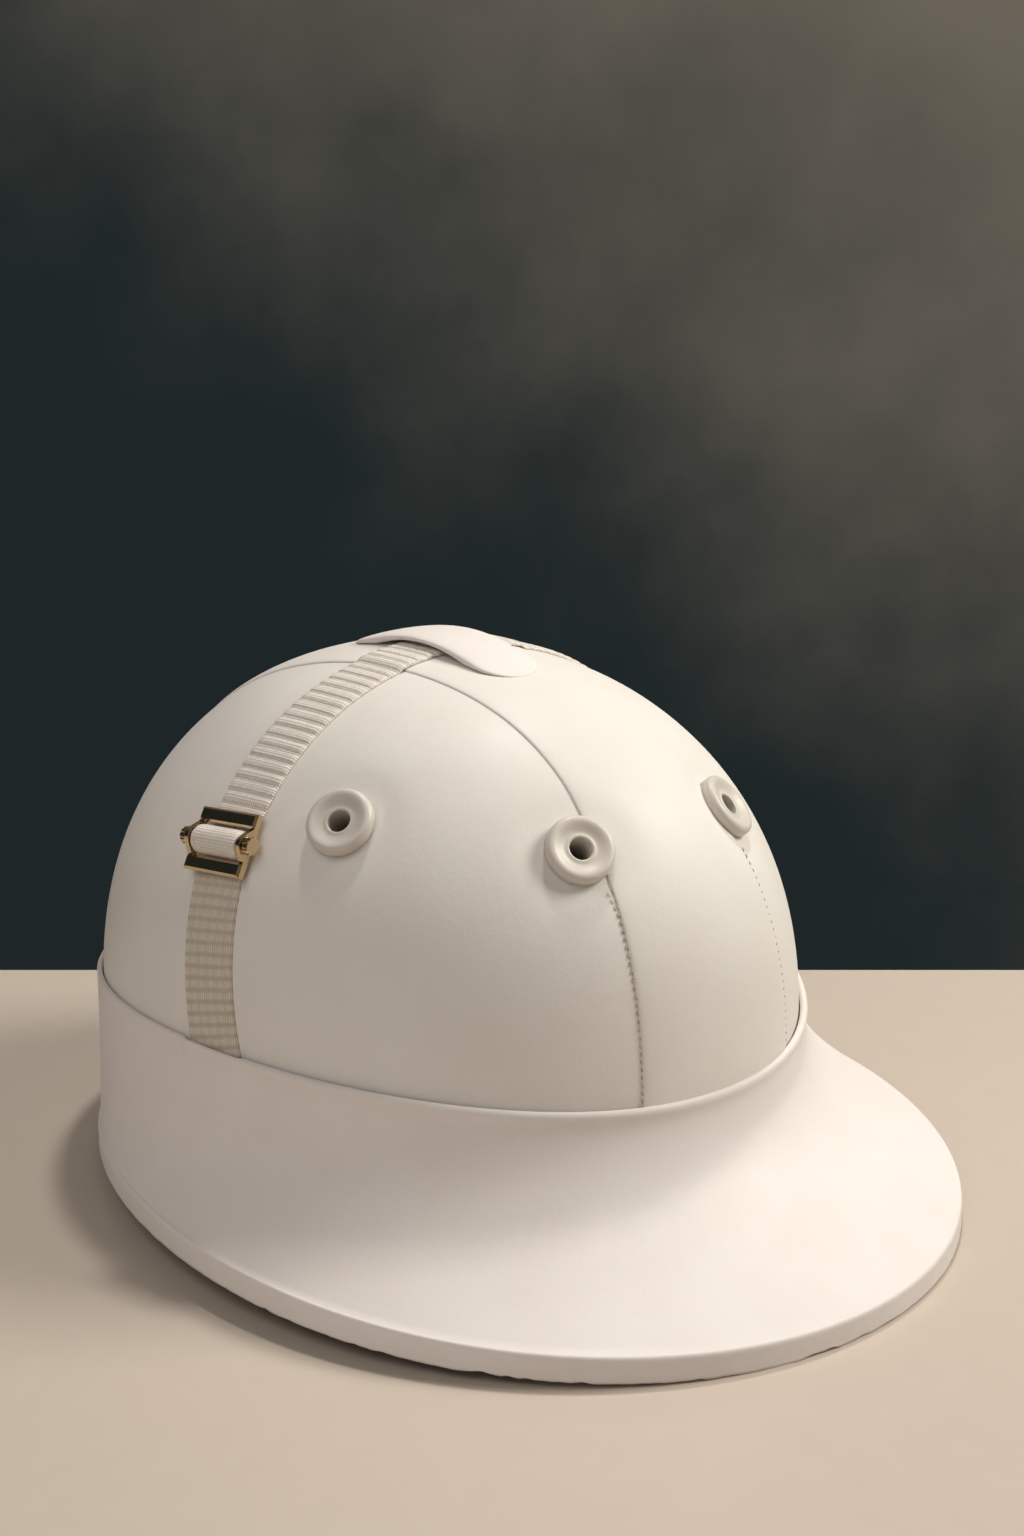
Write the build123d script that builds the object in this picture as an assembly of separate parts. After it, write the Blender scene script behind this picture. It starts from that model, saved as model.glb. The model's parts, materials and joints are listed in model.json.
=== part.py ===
"""A leather-covered polo helmet: a domed crown in three panels, a long front brim that runs back into a
short skirt, six vent eyelets, a top loop and a webbing strap with a sliding-bar buckle, and inside it
a rigid shell, an impact liner, a sweatband and a tucked-up chin harness.

Frame: millimetres, +Z up from the table, the brim's peak towards -Y, the wearer's left at +X.
"""

import os
from math import atan2, cos, pi, radians, sin, sqrt

from build123d import *

# Crown: two half ellipses in plan that meet at the widest place, and a rounded dome above
CROWN_HALF_WIDTH = 108.6
CROWN_FRONT = 128.8
CROWN_REAR = 120.2
CROWN_WIDEST_Z = 53.0
CROWN_RISE = 117.2
CROWN_POWER = 2.22

# Line where the crown meets the brim's lip: height at the front, the sides and the rear
JOINT_FRONT_Z = 55.8
JOINT_SIDE_Z = 66.1
JOINT_REAR_Z = 57.1
TUCK = 4.0

# Layers of the crown, from the leather inwards
PANEL_LEATHER = 1.6
BAND_RAISE = 0.8
SHELL_WALL = 3.5
JOGGLE = 2.5
SHOULDER = 3.5
LINER_WALL = 16.4
SHELL_BOTTOM_Z = 21.0

# Centre band: half widths at the front base, over the front, at the middle, behind and at the rear base
BAND_FRONT_BASE = 34.5
BAND_FRONT = 25.0
BAND_NARROW = 24.0
BAND_MIDDLE = 26.7
BAND_BEHIND = 31.0
BAND_REAR_BASE = 37.0
BAND_FRONT_Y = 80.0
BAND_NARROW_Y = 38.0
BAND_BEHIND_Y = 34.0

# Brim: how far its edge stands out from the crown, how far the sides lift, and its section
BRIM_REACH_FRONT = 60.0
BRIM_REACH_REAR = 1.8
BRIM_SIDE_LIFT = 7.8
BRIM_WALL_PROUD = 2.0
BRIM_LEATHER = 1.8
BRIM_CORE = 4.4
BRIM_LINING = 1.2
LINING_FIT = 1.0
LINING_GAP = 0.2
RIM_HEIGHT = 8.0
RIM_ROUND = 1.8
RIM_CREASE_FRONT = 1.3
RIM_CREASE_REAR = 0.6
CREASE_STEPS = 3
RIM_LAND = 5.0
RIM_FLAT = 0.4
KNEE_SHARE = 0.47
KNEE_FLARE = 1.0
KNEE_PULL_SHARE = 0.72
BRIM_INSIDE = 13.0
SECTION_STEP = 30

# Piping that rolls over the brim's upper edge
WELT_RADIUS = 1.5
WELT_SIDES = 8

# Vent eyelets
EYELET_RADIUS = 10.6
EYELET_HEIGHT = 2.8
EYELET_SEAT = 1.0
EYELET_FLANK = 1.8
EYELET_FLANK_STEPS = 3
EYELET_CREST = 1.6
EYELET_DISH = 0.7
EYELET_HOLE_RADIUS = 3.5
EYELET_HOLE_ROUND = 0.6
EYELET_WALL = 1.5
WASHER_RADIUS = 8.5
WASHER_THICK = 1.0
WASHER_DROP = 1.5
FRONT_EYELET_X = 33.0
FRONT_EYELET_Y = 96.5
RIGHT_EYELET_X = 76.2
RIGHT_EYELET_Y = 40.6
LEFT_EYELET_X = 81.5
LEFT_EYELET_Y = 28.0
REAR_EYELET_X = 28.0
REAR_EYELET_Y = 97.0

# Top loop, over the strap
LOOP_LENGTH = 75.0
LOOP_WIDTH = 24.0
LOOP_RISE = 5.0
LOOP_THICK = 2.6
LOOP_TUNNEL = 40.0
LOOP_END_THICK = 0.9
LOOP_CENTRE_Y = -4.0

# Webbing strap over the crown: where its middle runs at the lip, half way up and over the top
STRAP_WIDTH = 20.5
STRAP_THICK = 1.4
STRAP_LIP_Y = -17.0
STRAP_HALF_Y = -6.0
STRAP_TOP_Y = -3.0
STRAP_HALF_Z = 120.0

# Sliding-bar buckle on the wearer's right
BUCKLE_Z = 123.0
BUCKLE_WIDTH = 24.5
BUCKLE_LENGTH = 20.0
BUCKLE_BAR_WIDTH = 4.6
BUCKLE_BAR_THICK = 2.6
BUCKLE_UNDER = 1.35
BUCKLE_LEG = 1.7
BUCKLE_HUMP = 7.3
BUCKLE_CHAMFER = 0.7
SLIDE_RADIUS = 1.6
SLIDE_HEIGHT = 4.1
SLIDE_TRAVEL = 0.8
SLIDE_CLEARANCE = 0.15
KNOB_RADIUS = 2.8
KNOB_LENGTH = 2.4
KNOB_GAP = 0.35
FLUTES = 10
FLUTE_RADIUS = 0.45
FOLD_WIDTH = 19.4
FOLD_FOOT = 4.2
FOLD_GAP = 0.2
STRAP_GAP = 7.2

# Inside: sweatband, pads and edge binding
BINDING_THICK = 1.5
BINDING_FIT = 0.6
SWEATBAND_THICK = 1.6
SWEATBAND_LOW_Z = 13.0
SWEATBAND_HIGH_Z = 47.0
SIZE_PAD_HIGH_Z = 40.0
SIZE_PAD_HALF_WIDTH = 52.0
PAD_THICK = 2.0
CROWN_PAD_THICK = 8.0
CROWN_PAD_LOW_Z = 136.0

# Chin harness, tucked round the back of the sweatband
CHIN_STRAP_THICK = 1.4
CHIN_STRAP_WIDTH = 15.0
CHIN_STRAP_Z = 29.0
CHIN_STRAP_FIT = 0.3
RIVET_Y = -22.0
RIVET_HEAD_RADIUS = 5.0
RIVET_HEAD_THICK = 1.2
RIVET_RADIUS = 2.0
RIVET_FIT = 0.25
STRAP_END_PAST = 9.0
CLIP_LENGTH = 46.0
CLIP_HEIGHT = 20.0
CLIP_THICK = 7.0
CLIP_WALL = 1.4
CLIP_SOCKET_LENGTH = 29.0
CLIP_PAD_LENGTH = 11.0
CLIP_SLOT = 3.2
CLIP_SLOT_HEIGHT = 15.6
CLIP_CLEARANCE = 0.3
CLIP_BEHIND = 0.6
CLIP_ROUND = 1.2
TONGUE_HEIGHT = 3.6
TONGUE_LENGTH = 14.0
ARM_THICK = 2.0
ARM_LENGTH = 16.0
ARM_HEAD_LENGTH = 6.0
ARM_HEAD_PROUD = 0.5
ARM_SPREAD = 7.0
ARM_SWING_ROOM = 0.4
CLIP_WINDOW_LENGTH = 8.6
STRAP_BEHIND_CLIP = 9.0

# Room that every cutting solid has past what it cuts
OVERRUN = 30.0

# Depths below the crown's leather surface at which the layers meet
SHELL_DEPTH = PANEL_LEATHER
NECK_DEPTH = PANEL_LEATHER + JOGGLE
LINER_DEPTH = PANEL_LEATHER + SHELL_WALL
NECK_LINER_DEPTH = NECK_DEPTH + SHELL_WALL
INSIDE_DEPTH = NECK_LINER_DEPTH + LINER_WALL
SWEATBAND_DEPTH = INSIDE_DEPTH + PAD_THICK
CHIN_DEPTH = SWEATBAND_DEPTH + SWEATBAND_THICK + CHIN_STRAP_FIT
BRIM_STACK = BRIM_LEATHER + BRIM_CORE
BINDING_DEPTH = BRIM_STACK + BRIM_LINING - BRIM_WALL_PROUD + BINDING_FIT

# The whole is moved so that its box is centred over the origin
ARM_PIVOT_X = CLIP_SOCKET_LENGTH - CLIP_LENGTH / 2 + CLIP_CLEARANCE + ARM_THICK
CENTRE_Y = (CROWN_FRONT + BRIM_REACH_FRONT - CROWN_REAR - BRIM_REACH_REAR) / 2

CROWN_TOP_Z = CROWN_WIDEST_Z + CROWN_RISE

# How finely the crown's surfaces are made: its profile in levels, up to where the top is flat, in degrees
PROFILE_END = 85
SURFACE_LEVELS = 16
HIDDEN_LEVELS = 10
HIDDEN_SIDES = 48
JOINT_SPANS = 6
STRAP_SPANS = 4


def levels(depth, spans):
    """Half widths and heights up the crown's profile taken in by depth, from below the table."""
    share = 2 / CROWN_POWER
    places = [(CROWN_HALF_WIDTH - depth, -OVERRUN)]
    for step in range(spans + 1):
        turn = radians(PROFILE_END) * step / spans
        reach = (CROWN_HALF_WIDTH - depth) * cos(turn) ** share
        places.append((reach, CROWN_WIDEST_Z + (CROWN_RISE - depth) * sin(turn) ** share))
    return places


def length_shares(depth):
    """How the rear and front half lengths of every level compare with its half width."""
    half_width = CROWN_HALF_WIDTH - depth
    return (CROWN_REAR - depth) / half_width, (CROWN_FRONT - depth) / half_width


def dome(depth):
    """The solid under a surface of the crown taken in by depth: rings between level ellipses."""
    rear_share, front_share = length_shares(depth)
    outlines = []
    for reach, z in levels(depth, SURFACE_LEVELS):
        rear = EllipticalCenterArc((0, 0), reach, reach * rear_share, 0, arc_size=180)
        front = EllipticalCenterArc((0, 0), reach, reach * front_share, 180, arc_size=180)
        outlines.append(Pos(0, 0, z) * Wire([rear, front]))
    return Solid.make_loft(outlines, ruled=True)


def flat_face(corners):
    """The flat face between corners."""
    return Face(Wire(Polyline(corners, close=True)))


def inner_dome(depth):
    """The same for a surface between two hidden layers, in flat facets that stay light."""
    rear_share, front_share = length_shares(depth)
    rings = []
    for reach, z in levels(depth, HIDDEN_LEVELS):
        corners = []
        for step in range(HIDDEN_SIDES):
            turn = 2 * pi * (step + 1 / 2) / HIDDEN_SIDES
            length = rear_share if sin(turn) > 0 else front_share
            corners.append(Vector(reach * cos(turn), reach * length * sin(turn), z))
        rings.append(corners)
    faces = [flat_face(rings[0]), flat_face(rings[-1])]
    for low, high in zip(rings, rings[1:]):
        for corners in zip(low, low[1:] + low[:1], high[1:] + high[:1], high):
            faces.append(flat_face(corners))
    return Solid(Shell(faces))


def crown_place(x, y, depth=0):
    """The point of the crown over plan point x, y, and its outward direction."""
    across = CROWN_HALF_WIDTH - depth
    along = (CROWN_FRONT if y < 0 else CROWN_REAR) - depth
    rise = CROWN_RISE - depth
    plan = sqrt((x / across) ** 2 + (y / along) ** 2)
    up = (1 - plan**CROWN_POWER) ** (1 / CROWN_POWER)
    slope = plan ** (CROWN_POWER - 2)
    out = Vector(
        x / across**2 * slope, y / along**2 * slope, up ** (CROWN_POWER - 1) / rise
    )
    return Vector(x, y, CROWN_WIDEST_Z + rise * up), out.normalized()


def crown_x(y, z):
    """The crown's half width at height z and plan place y."""
    along = CROWN_FRONT if y < 0 else CROWN_REAR
    up = (z - CROWN_WIDEST_Z) / CROWN_RISE
    plan = (1 - up**CROWN_POWER) ** (1 / CROWN_POWER)
    return CROWN_HALF_WIDTH * sqrt(plan**2 - (y / along) ** 2)


def joint_z(y):
    """The height of the line where the crown meets the lip."""
    if y < 0:
        return JOINT_SIDE_Z - (JOINT_SIDE_Z - JOINT_FRONT_Z) * (y / CROWN_FRONT) ** 2
    return JOINT_SIDE_Z - (JOINT_SIDE_Z - JOINT_REAR_Z) * (y / CROWN_REAR) ** 2


def above_joint(drop):
    """Everything over the joint line lowered by drop."""
    reach = CROWN_FRONT + OVERRUN
    points = []
    for step in range(JOINT_SPANS + 1):
        y = -CROWN_FRONT + (CROWN_FRONT + CROWN_REAR) * step / JOINT_SPANS
        points.append((0, y, joint_z(y) - drop))
    high = CROWN_TOP_Z + OVERRUN
    outline = Wire(
        [
            Spline(*points),
            Line(points[-1], (0, reach, points[-1][2])),
            Line((0, reach, points[-1][2]), (0, reach, high)),
            Line((0, reach, high), (0, -reach, high)),
            Line((0, -reach, high), (0, -reach, points[0][2])),
            Line((0, -reach, points[0][2]), points[0]),
        ]
    )
    return extrude(Face(outline), reach, dir=(1, 0, 0), both=True)


def slab(low_z, high_z):
    """Everything between two heights."""
    reach = 2 * (CROWN_FRONT + BRIM_REACH_FRONT)
    return Pos(0, 0, low_z) * Box(
        reach, reach, high_z - low_z, align=(Align.CENTER, Align.CENTER, Align.MIN)
    )


def band_region():
    """The prism between the two seams, seen from above."""
    front = -CROWN_FRONT - OVERRUN
    rear = CROWN_REAR + OVERRUN
    points = [
        (BAND_FRONT_BASE, -CROWN_FRONT),
        (BAND_FRONT, -BAND_FRONT_Y),
        (BAND_NARROW, -BAND_NARROW_Y),
        (BAND_MIDDLE, 0),
        (BAND_BEHIND, BAND_BEHIND_Y),
        (BAND_REAR_BASE, CROWN_REAR),
    ]
    mirrored = [(-x, y) for x, y in points]
    left = Spline(*points)
    right = Spline(*mirrored[::-1])
    outline = Wire(
        [
            left,
            Line(points[-1], (points[-1][0], rear)),
            Line((points[-1][0], rear), (-points[-1][0], rear)),
            Line((-points[-1][0], rear), (-points[-1][0], points[-1][1])),
            right,
            Line((-points[0][0], points[0][1]), (-points[0][0], front)),
            Line((-points[0][0], front), (points[0][0], front)),
            Line((points[0][0], front), points[0]),
        ]
    )
    return extrude(Face(outline), CROWN_TOP_Z + OVERRUN)


def plan_radius(turn):
    """The crown's plan radius at an angle from the front."""
    along = CROWN_FRONT if cos(turn) > 0 else CROWN_REAR
    return 1 / sqrt((sin(turn) / CROWN_HALF_WIDTH) ** 2 + (cos(turn) / along) ** 2)


def brim_section(turn, depth, land, over):
    """A radial section under the brim's leather surface taken in by depth, larger by over elsewhere."""
    forward = (1 + cos(turn)) / 2
    crown = plan_radius(turn)
    rim = crown + BRIM_REACH_REAR
    rim += (BRIM_REACH_FRONT - BRIM_REACH_REAR) * forward**2
    foot = BRIM_SIDE_LIFT * sin(turn) ** 2 - RIM_FLAT
    top = joint_z(-crown * cos(turn)) - 2 * WELT_RADIUS
    crease = RIM_CREASE_REAR + (RIM_CREASE_FRONT - RIM_CREASE_REAR) * forward
    crease_r = rim - crease
    crease_z = foot + RIM_HEIGHT
    wall_r = crown + BRIM_WALL_PROUD
    knee_r = wall_r + KNEE_FLARE * forward
    knee_z = crease_z + KNEE_SHARE * (top - crease_z)
    fall = atan2(knee_z - crease_z, crease_r - knee_r)
    start = (wall_r - depth, top)
    knee = (knee_r - depth, knee_z - depth * cos(fall) / (1 + sin(fall)))
    inset = depth * sin(fall) + land * cos(fall) if land else depth
    end = (crease_r - inset, crease_z - depth * cos(fall) + land * sin(fall))
    pull = KNEE_PULL_SHARE
    first = [a + (b - a) * pull for a, b in zip(start, knee)]
    second = [a + (b - a) * pull for a, b in zip(end, knee)]
    low = foot - over
    high = top + over
    inside = crown - BRIM_INSIDE - over

    def place(point):
        return Vector(point[0] * sin(turn), -point[0] * cos(turn), point[1])

    edges = [Bezier(*[place(p) for p in (start, first, second, end)])]
    if land:
        corner = (end[0], low)
        edges.append(Line(place(end), place(corner)))
    else:
        shoulder = (rim - depth, crease_z - depth * cos(fall))
        side = (rim - depth, shoulder[1] - RIM_ROUND)
        corner = (rim - depth, low)
        steps = 1 if depth else CREASE_STEPS
        crease_points = [end]
        for step in range(1, steps + 1):
            t = step / steps
            shares = ((1 - t) ** 2, 2 * t * (1 - t), t**2)
            parts = zip(end, shoulder, side)
            crease_points.append([sum(s * p for s, p in zip(shares, part)) for part in parts])
        for a, b in zip(crease_points, crease_points[1:]):
            edges.append(Line(place(a), place(b)))
        edges.append(Line(place(side), place(corner)))
    inner_low = (inside, low)
    inner_high = (inside, high)
    outer_high = (start[0], high)
    edges.append(Line(place(corner), place(inner_low)))
    edges.append(Line(place(inner_low), place(inner_high)))
    edges.append(Line(place(inner_high), place(outer_high)))
    if over:
        edges.append(Line(place(outer_high), place(start)))
    return Wire(edges)


def brim_form(depth, land=0, over=0):
    """The left half of the solid under the brim's leather surface taken in by depth, and a little more."""
    sections = []
    for degree in range(-SECTION_STEP, 180 + 2 * SECTION_STEP, SECTION_STEP):
        sections.append(brim_section(radians(degree), depth, land, over))
    return Solid.make_loft(sections)


def both_sides(form):
    """A piece made whole from its left half, which is cut at the middle first."""
    reach = 2 * (CROWN_FRONT + BRIM_REACH_FRONT)
    left = form & Box(reach, reach, reach, align=(Align.MIN, Align.CENTER, Align.CENTER))
    return left + mirror(left, about=Plane.YZ)


def ring(outer, inner, low_z, high_z):
    """The layer between two domes, from one height to another."""
    return (outer - inner) & slab(low_z, high_z)


def surface_frame(x, y):
    """A frame on the crown's leather, its z axis straight out."""
    point, out = crown_place(x, y)
    return Plane(origin=point, z_dir=out)


def inward(frame, depth):
    """How far the layer at a depth lies under the leather, straight in along a frame's z axis."""
    along = CROWN_FRONT if frame.origin.Y < 0 else CROWN_REAR
    share = Vector(
        frame.origin.X / CROWN_HALF_WIDTH,
        frame.origin.Y / along,
        (frame.origin.Z - CROWN_WIDEST_Z) / CROWN_RISE,
    )
    return depth * share.dot(frame.z_dir)


def eyelet_places():
    """The six eyelets' frames."""
    places = (
        (-FRONT_EYELET_X, -FRONT_EYELET_Y),
        (FRONT_EYELET_X, -FRONT_EYELET_Y),
        (-RIGHT_EYELET_X, -RIGHT_EYELET_Y),
        (LEFT_EYELET_X, -LEFT_EYELET_Y),
        (-REAR_EYELET_X, REAR_EYELET_Y),
        (REAR_EYELET_X, REAR_EYELET_Y),
    )
    return [surface_frame(x, y) for x, y in places]


def rod(radius, low, high):
    """A cylinder along the z axis between two levels."""
    return Pos(0, 0, low) * Cylinder(
        radius, high - low, align=(Align.CENTER, Align.CENTER, Align.MIN)
    )


def eyelet(length):
    """A flanged eyelet: a dished flange with a rounded rim, and the barrel that lines the hole."""
    barrel = EYELET_HOLE_RADIUS + EYELET_WALL
    low = -length - WASHER_DROP - WASHER_THICK
    lip = EYELET_HEIGHT - EYELET_DISH
    crest = EYELET_RADIUS - EYELET_FLANK
    hole_top = (EYELET_HOLE_RADIUS, 0, lip - EYELET_HOLE_ROUND)
    dish = (EYELET_HOLE_RADIUS + EYELET_HOLE_ROUND, 0, lip)
    inner_crest = (crest - EYELET_CREST, 0, EYELET_HEIGHT)
    round_z = EYELET_HEIGHT - EYELET_FLANK
    corners = [(EYELET_HOLE_RADIUS, 0, low), hole_top, dish, inner_crest]
    for step in range(EYELET_FLANK_STEPS + 1):
        turn = pi / 2 * step / EYELET_FLANK_STEPS
        corners.append(
            (crest + EYELET_FLANK * sin(turn), 0, round_z + EYELET_FLANK * cos(turn))
        )
    corners.append((EYELET_RADIUS, 0, -EYELET_SEAT))
    corners.append((barrel, 0, -EYELET_SEAT))
    corners.append((barrel, 0, low))
    return revolve(flat_face(corners), Axis.Z, 360)


def washer(length):
    """The flat ring that the eyelet's barrel is closed over inside."""
    high = -length - WASHER_DROP
    hole = EYELET_HOLE_RADIUS + EYELET_WALL
    return rod(WASHER_RADIUS, high - WASHER_THICK, high) - rod(
        hole, high - 2 * WASHER_THICK, high + WASHER_THICK
    )


def strap_middle_y(z):
    """Where the strap's middle runs at a height: a parabola through its three named places."""
    low, middle, high = joint_z(STRAP_LIP_Y), STRAP_HALF_Z, CROWN_TOP_Z
    first = STRAP_LIP_Y * (z - middle) * (z - high) / ((low - middle) * (low - high))
    second = STRAP_HALF_Y * (z - low) * (z - high) / ((middle - low) * (middle - high))
    third = STRAP_TOP_Y * (z - low) * (z - middle) / ((high - low) * (high - middle))
    return first + second + third


def strap_region():
    """The prism across the helmet that holds the strap, between its two edges."""
    low = JOINT_SIDE_Z - 2 * WELT_RADIUS
    front = []
    rear = []
    for step in range(STRAP_SPANS + 1):
        z = low + (CROWN_TOP_Z - low) * step / STRAP_SPANS
        middle = strap_middle_y(z)
        front.append((0, middle - STRAP_WIDTH / 2, z))
        rear.append((0, middle + STRAP_WIDTH / 2, z))
    high = CROWN_TOP_Z + OVERRUN
    outline = Wire(
        [
            Spline(*front),
            Line(front[-1], (0, front[-1][1], high)),
            Line((0, front[-1][1], high), (0, rear[-1][1], high)),
            Line((0, rear[-1][1], high), rear[-1]),
            Spline(*rear[::-1]),
            Line(rear[0], front[0]),
        ]
    )
    reach = CROWN_HALF_WIDTH + OVERRUN
    return extrude(Face(outline), reach, dir=(1, 0, 0), both=True)


def buckle_plane():
    """The buckle's frame: x across the strap, y up along it, z straight out from the crown."""
    step = BUCKLE_LENGTH / 2

    def place(z):
        y = strap_middle_y(z)
        return Vector(-crown_x(y, z), y, z)

    middle = place(BUCKLE_Z)
    out = crown_place(middle.X, middle.Y)[1]
    along = place(BUCKLE_Z + step) - place(BUCKLE_Z - step)
    return Plane(origin=middle, x_dir=along.cross(out), z_dir=out)


def buckle_frame():
    """Two flat chamfered bars joined by two humped legs, each with a slot for the sliding bar."""
    half = BUCKLE_LENGTH / 2
    low = BUCKLE_UNDER
    top = low + BUCKLE_BAR_THICK
    frame = None
    for side in (-1, 1):
        middle = side * (half - BUCKLE_BAR_WIDTH / 2)
        bar = Pos(0, middle, low) * Box(
            BUCKLE_WIDTH,
            BUCKLE_BAR_WIDTH,
            BUCKLE_BAR_THICK,
            align=(Align.CENTER, Align.CENTER, Align.MIN),
        )
        bar = chamfer(bar.faces().sort_by(Axis.Z)[-1].edges(), BUCKLE_CHAMFER)
        frame = bar if frame is None else frame + bar
    slot_radius = SLIDE_RADIUS + SLIDE_CLEARANCE
    shoulder = half - BUCKLE_BAR_WIDTH
    start = (0, -shoulder, top - BUCKLE_CHAMFER)
    end = (0, shoulder, top - BUCKLE_CHAMFER)
    outline = Wire(
        [
            Line((0, -shoulder, low), start),
            Spline(
                start,
                (0, 0, BUCKLE_HUMP),
                end,
                tangents=[(0, 1, 1), (0, 1, -1)],
            ),
            Line(end, (0, shoulder, low)),
            Line((0, shoulder, low), (0, -shoulder, low)),
        ]
    )
    leg = extrude(Face(outline), BUCKLE_LEG, dir=(1, 0, 0))
    reach = BUCKLE_LEG + KNOB_GAP
    bore = Rot(0, 90, 0) * rod(slot_radius, -reach, reach)
    slot = Pos(0, -SLIDE_TRAVEL, SLIDE_HEIGHT) * bore
    slot += Pos(0, SLIDE_TRAVEL, SLIDE_HEIGHT) * bore
    slot += Pos(0, 0, SLIDE_HEIGHT) * Box(2 * reach, 2 * SLIDE_TRAVEL, 2 * slot_radius)
    leg -= Pos(BUCKLE_LEG / 2, 0, 0) * slot
    frame += Pos(BUCKLE_WIDTH / 2 - BUCKLE_LEG, 0, 0) * leg
    frame += Pos(-BUCKLE_WIDTH / 2, 0, 0) * leg
    return frame


def buckle_bar():
    """The sliding bar, with a fluted knob outside each leg."""
    reach = BUCKLE_WIDTH / 2 + KNOB_GAP
    bar = rod(SLIDE_RADIUS, -reach, reach)
    knob = rod(KNOB_RADIUS, reach, reach + KNOB_LENGTH)
    knob = chamfer(knob.edges().filter_by(GeomType.CIRCLE), BUCKLE_CHAMFER / 2)
    flute = Pos(KNOB_RADIUS, 0, 0) * rod(FLUTE_RADIUS, 0, reach + 2 * KNOB_LENGTH)
    for turn in range(FLUTES):
        knob -= Rot(0, 0, 360 * turn / FLUTES) * flute
    bar += knob + mirror(knob, about=Plane.XY)
    return Pos(0, 0, SLIDE_HEIGHT) * (Rot(0, 90, 0) * bar)


def strap_fold():
    """The webbing's fold over the sliding bar."""
    high = SLIDE_HEIGHT + SLIDE_RADIUS + FOLD_GAP + STRAP_THICK

    def arch(foot, top):
        return (0, -foot, BUCKLE_UNDER), (0, 0, top), (0, foot, BUCKLE_UNDER)

    outer = arch(FOLD_FOOT, high)
    inner = arch(FOLD_FOOT - STRAP_THICK, high - STRAP_THICK)
    outline = Wire(
        [
            ThreePointArc(*outer),
            Line(outer[-1], inner[-1]),
            ThreePointArc(*inner[::-1]),
            Line(inner[0], outer[0]),
        ]
    )
    return extrude(Face(outline), FOLD_WIDTH / 2, dir=(1, 0, 0), both=True)


def top_loop(band_top):
    """The leather loop over the strap: an arched strip that thins out into two feet on the band."""
    half = LOOP_LENGTH / 2
    tunnel = LOOP_TUNNEL / 2
    base = crown_place(0, LOOP_CENTRE_Y)[0].Z

    def over(y, rise):
        return (0, y, crown_place(0, y, -BAND_RAISE)[0].Z + rise)

    front_y = LOOP_CENTRE_Y - half
    rear_y = LOOP_CENTRE_Y + half
    front = over(front_y, LOOP_END_THICK)
    rear = over(rear_y, LOOP_END_THICK)
    peak = over(LOOP_CENTRE_Y, LOOP_RISE)
    front_slope = (peak[2] - front[2]) / half
    rear_slope = (peak[2] - rear[2]) / half
    deep = base - LOOP_LENGTH / 2
    outline = Wire(
        [
            Spline(
                front, peak, rear, tangents=[(0, 1, front_slope), (0, 1, -rear_slope)]
            ),
            Line(rear, (0, rear_y, deep)),
            Line((0, rear_y, deep), (0, front_y, deep)),
            Line((0, front_y, deep), front),
        ]
    )
    body = extrude(Face(outline), LOOP_WIDTH / 2, dir=(1, 0, 0), both=True)
    plan = extrude(SlotOverall(LOOP_LENGTH, LOOP_WIDTH, rotation=90).face(), 2 * CROWN_TOP_Z)
    body &= Pos(0, LOOP_CENTRE_Y, 0) * plan
    tunnel_front = over(LOOP_CENTRE_Y - tunnel, 0)
    tunnel_rear = over(LOOP_CENTRE_Y + tunnel, 0)
    tunnel_peak = over(LOOP_CENTRE_Y, LOOP_RISE - LOOP_THICK)
    hollow = Wire(
        [
            ThreePointArc(tunnel_front, tunnel_peak, tunnel_rear),
            Line(tunnel_rear, (0, tunnel_rear[1], deep)),
            Line((0, tunnel_rear[1], deep), (0, tunnel_front[1], deep)),
            Line((0, tunnel_front[1], deep), tunnel_front),
        ]
    )
    body -= extrude(Face(hollow), LOOP_WIDTH, dir=(1, 0, 0), both=True)
    return body - band_top


def lip_piping():
    """The left half, and a little more, of the piping that lies on the crown along the joint."""
    sections = []
    for degree in range(-SECTION_STEP, 180 + 2 * SECTION_STEP, SECTION_STEP):
        turn = radians(degree)
        crown = plan_radius(turn)
        z = joint_z(-crown * cos(turn)) - WELT_RADIUS
        corners = []
        for step in range(WELT_SIDES):
            around = 2 * pi * (step + 1 / 2) / WELT_SIDES
            reach = crown + WELT_RADIUS * (1 + cos(around))
            place = (reach * sin(turn), -reach * cos(turn), z + WELT_RADIUS * sin(around))
            corners.append(place)
        sections.append(Wire(Polyline(corners, close=True)))
    return Solid.make_loft(sections)


def clip_place(shape):
    """Puts a clip piece, made about the origin with its back at y = 0, against the rear of the sweatband."""
    half = CLIP_LENGTH / 2
    depth = CHIN_DEPTH + CHIN_STRAP_THICK + CLIP_BEHIND
    along = CROWN_REAR - depth
    across = CROWN_HALF_WIDTH - depth
    back = along * sqrt(1 - (half / across) ** 2)
    return Pos(0, back, CHIN_STRAP_Z) * shape


def block(low_x, high_x, low_y, high_y, low_z, high_z):
    """A box between its own limits."""
    return Pos(low_x, low_y, low_z) * Box(
        high_x - low_x, high_y - low_y, high_z - low_z, align=Align.MIN
    )


def clip_slot(middle_x):
    """The hole that the chin strap's end goes through."""
    return block(
        middle_x - CLIP_SLOT / 2,
        middle_x + CLIP_SLOT / 2,
        -2 * CLIP_THICK,
        CLIP_THICK,
        -CLIP_SLOT_HEIGHT / 2,
        CLIP_SLOT_HEIGHT / 2,
    )


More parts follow.
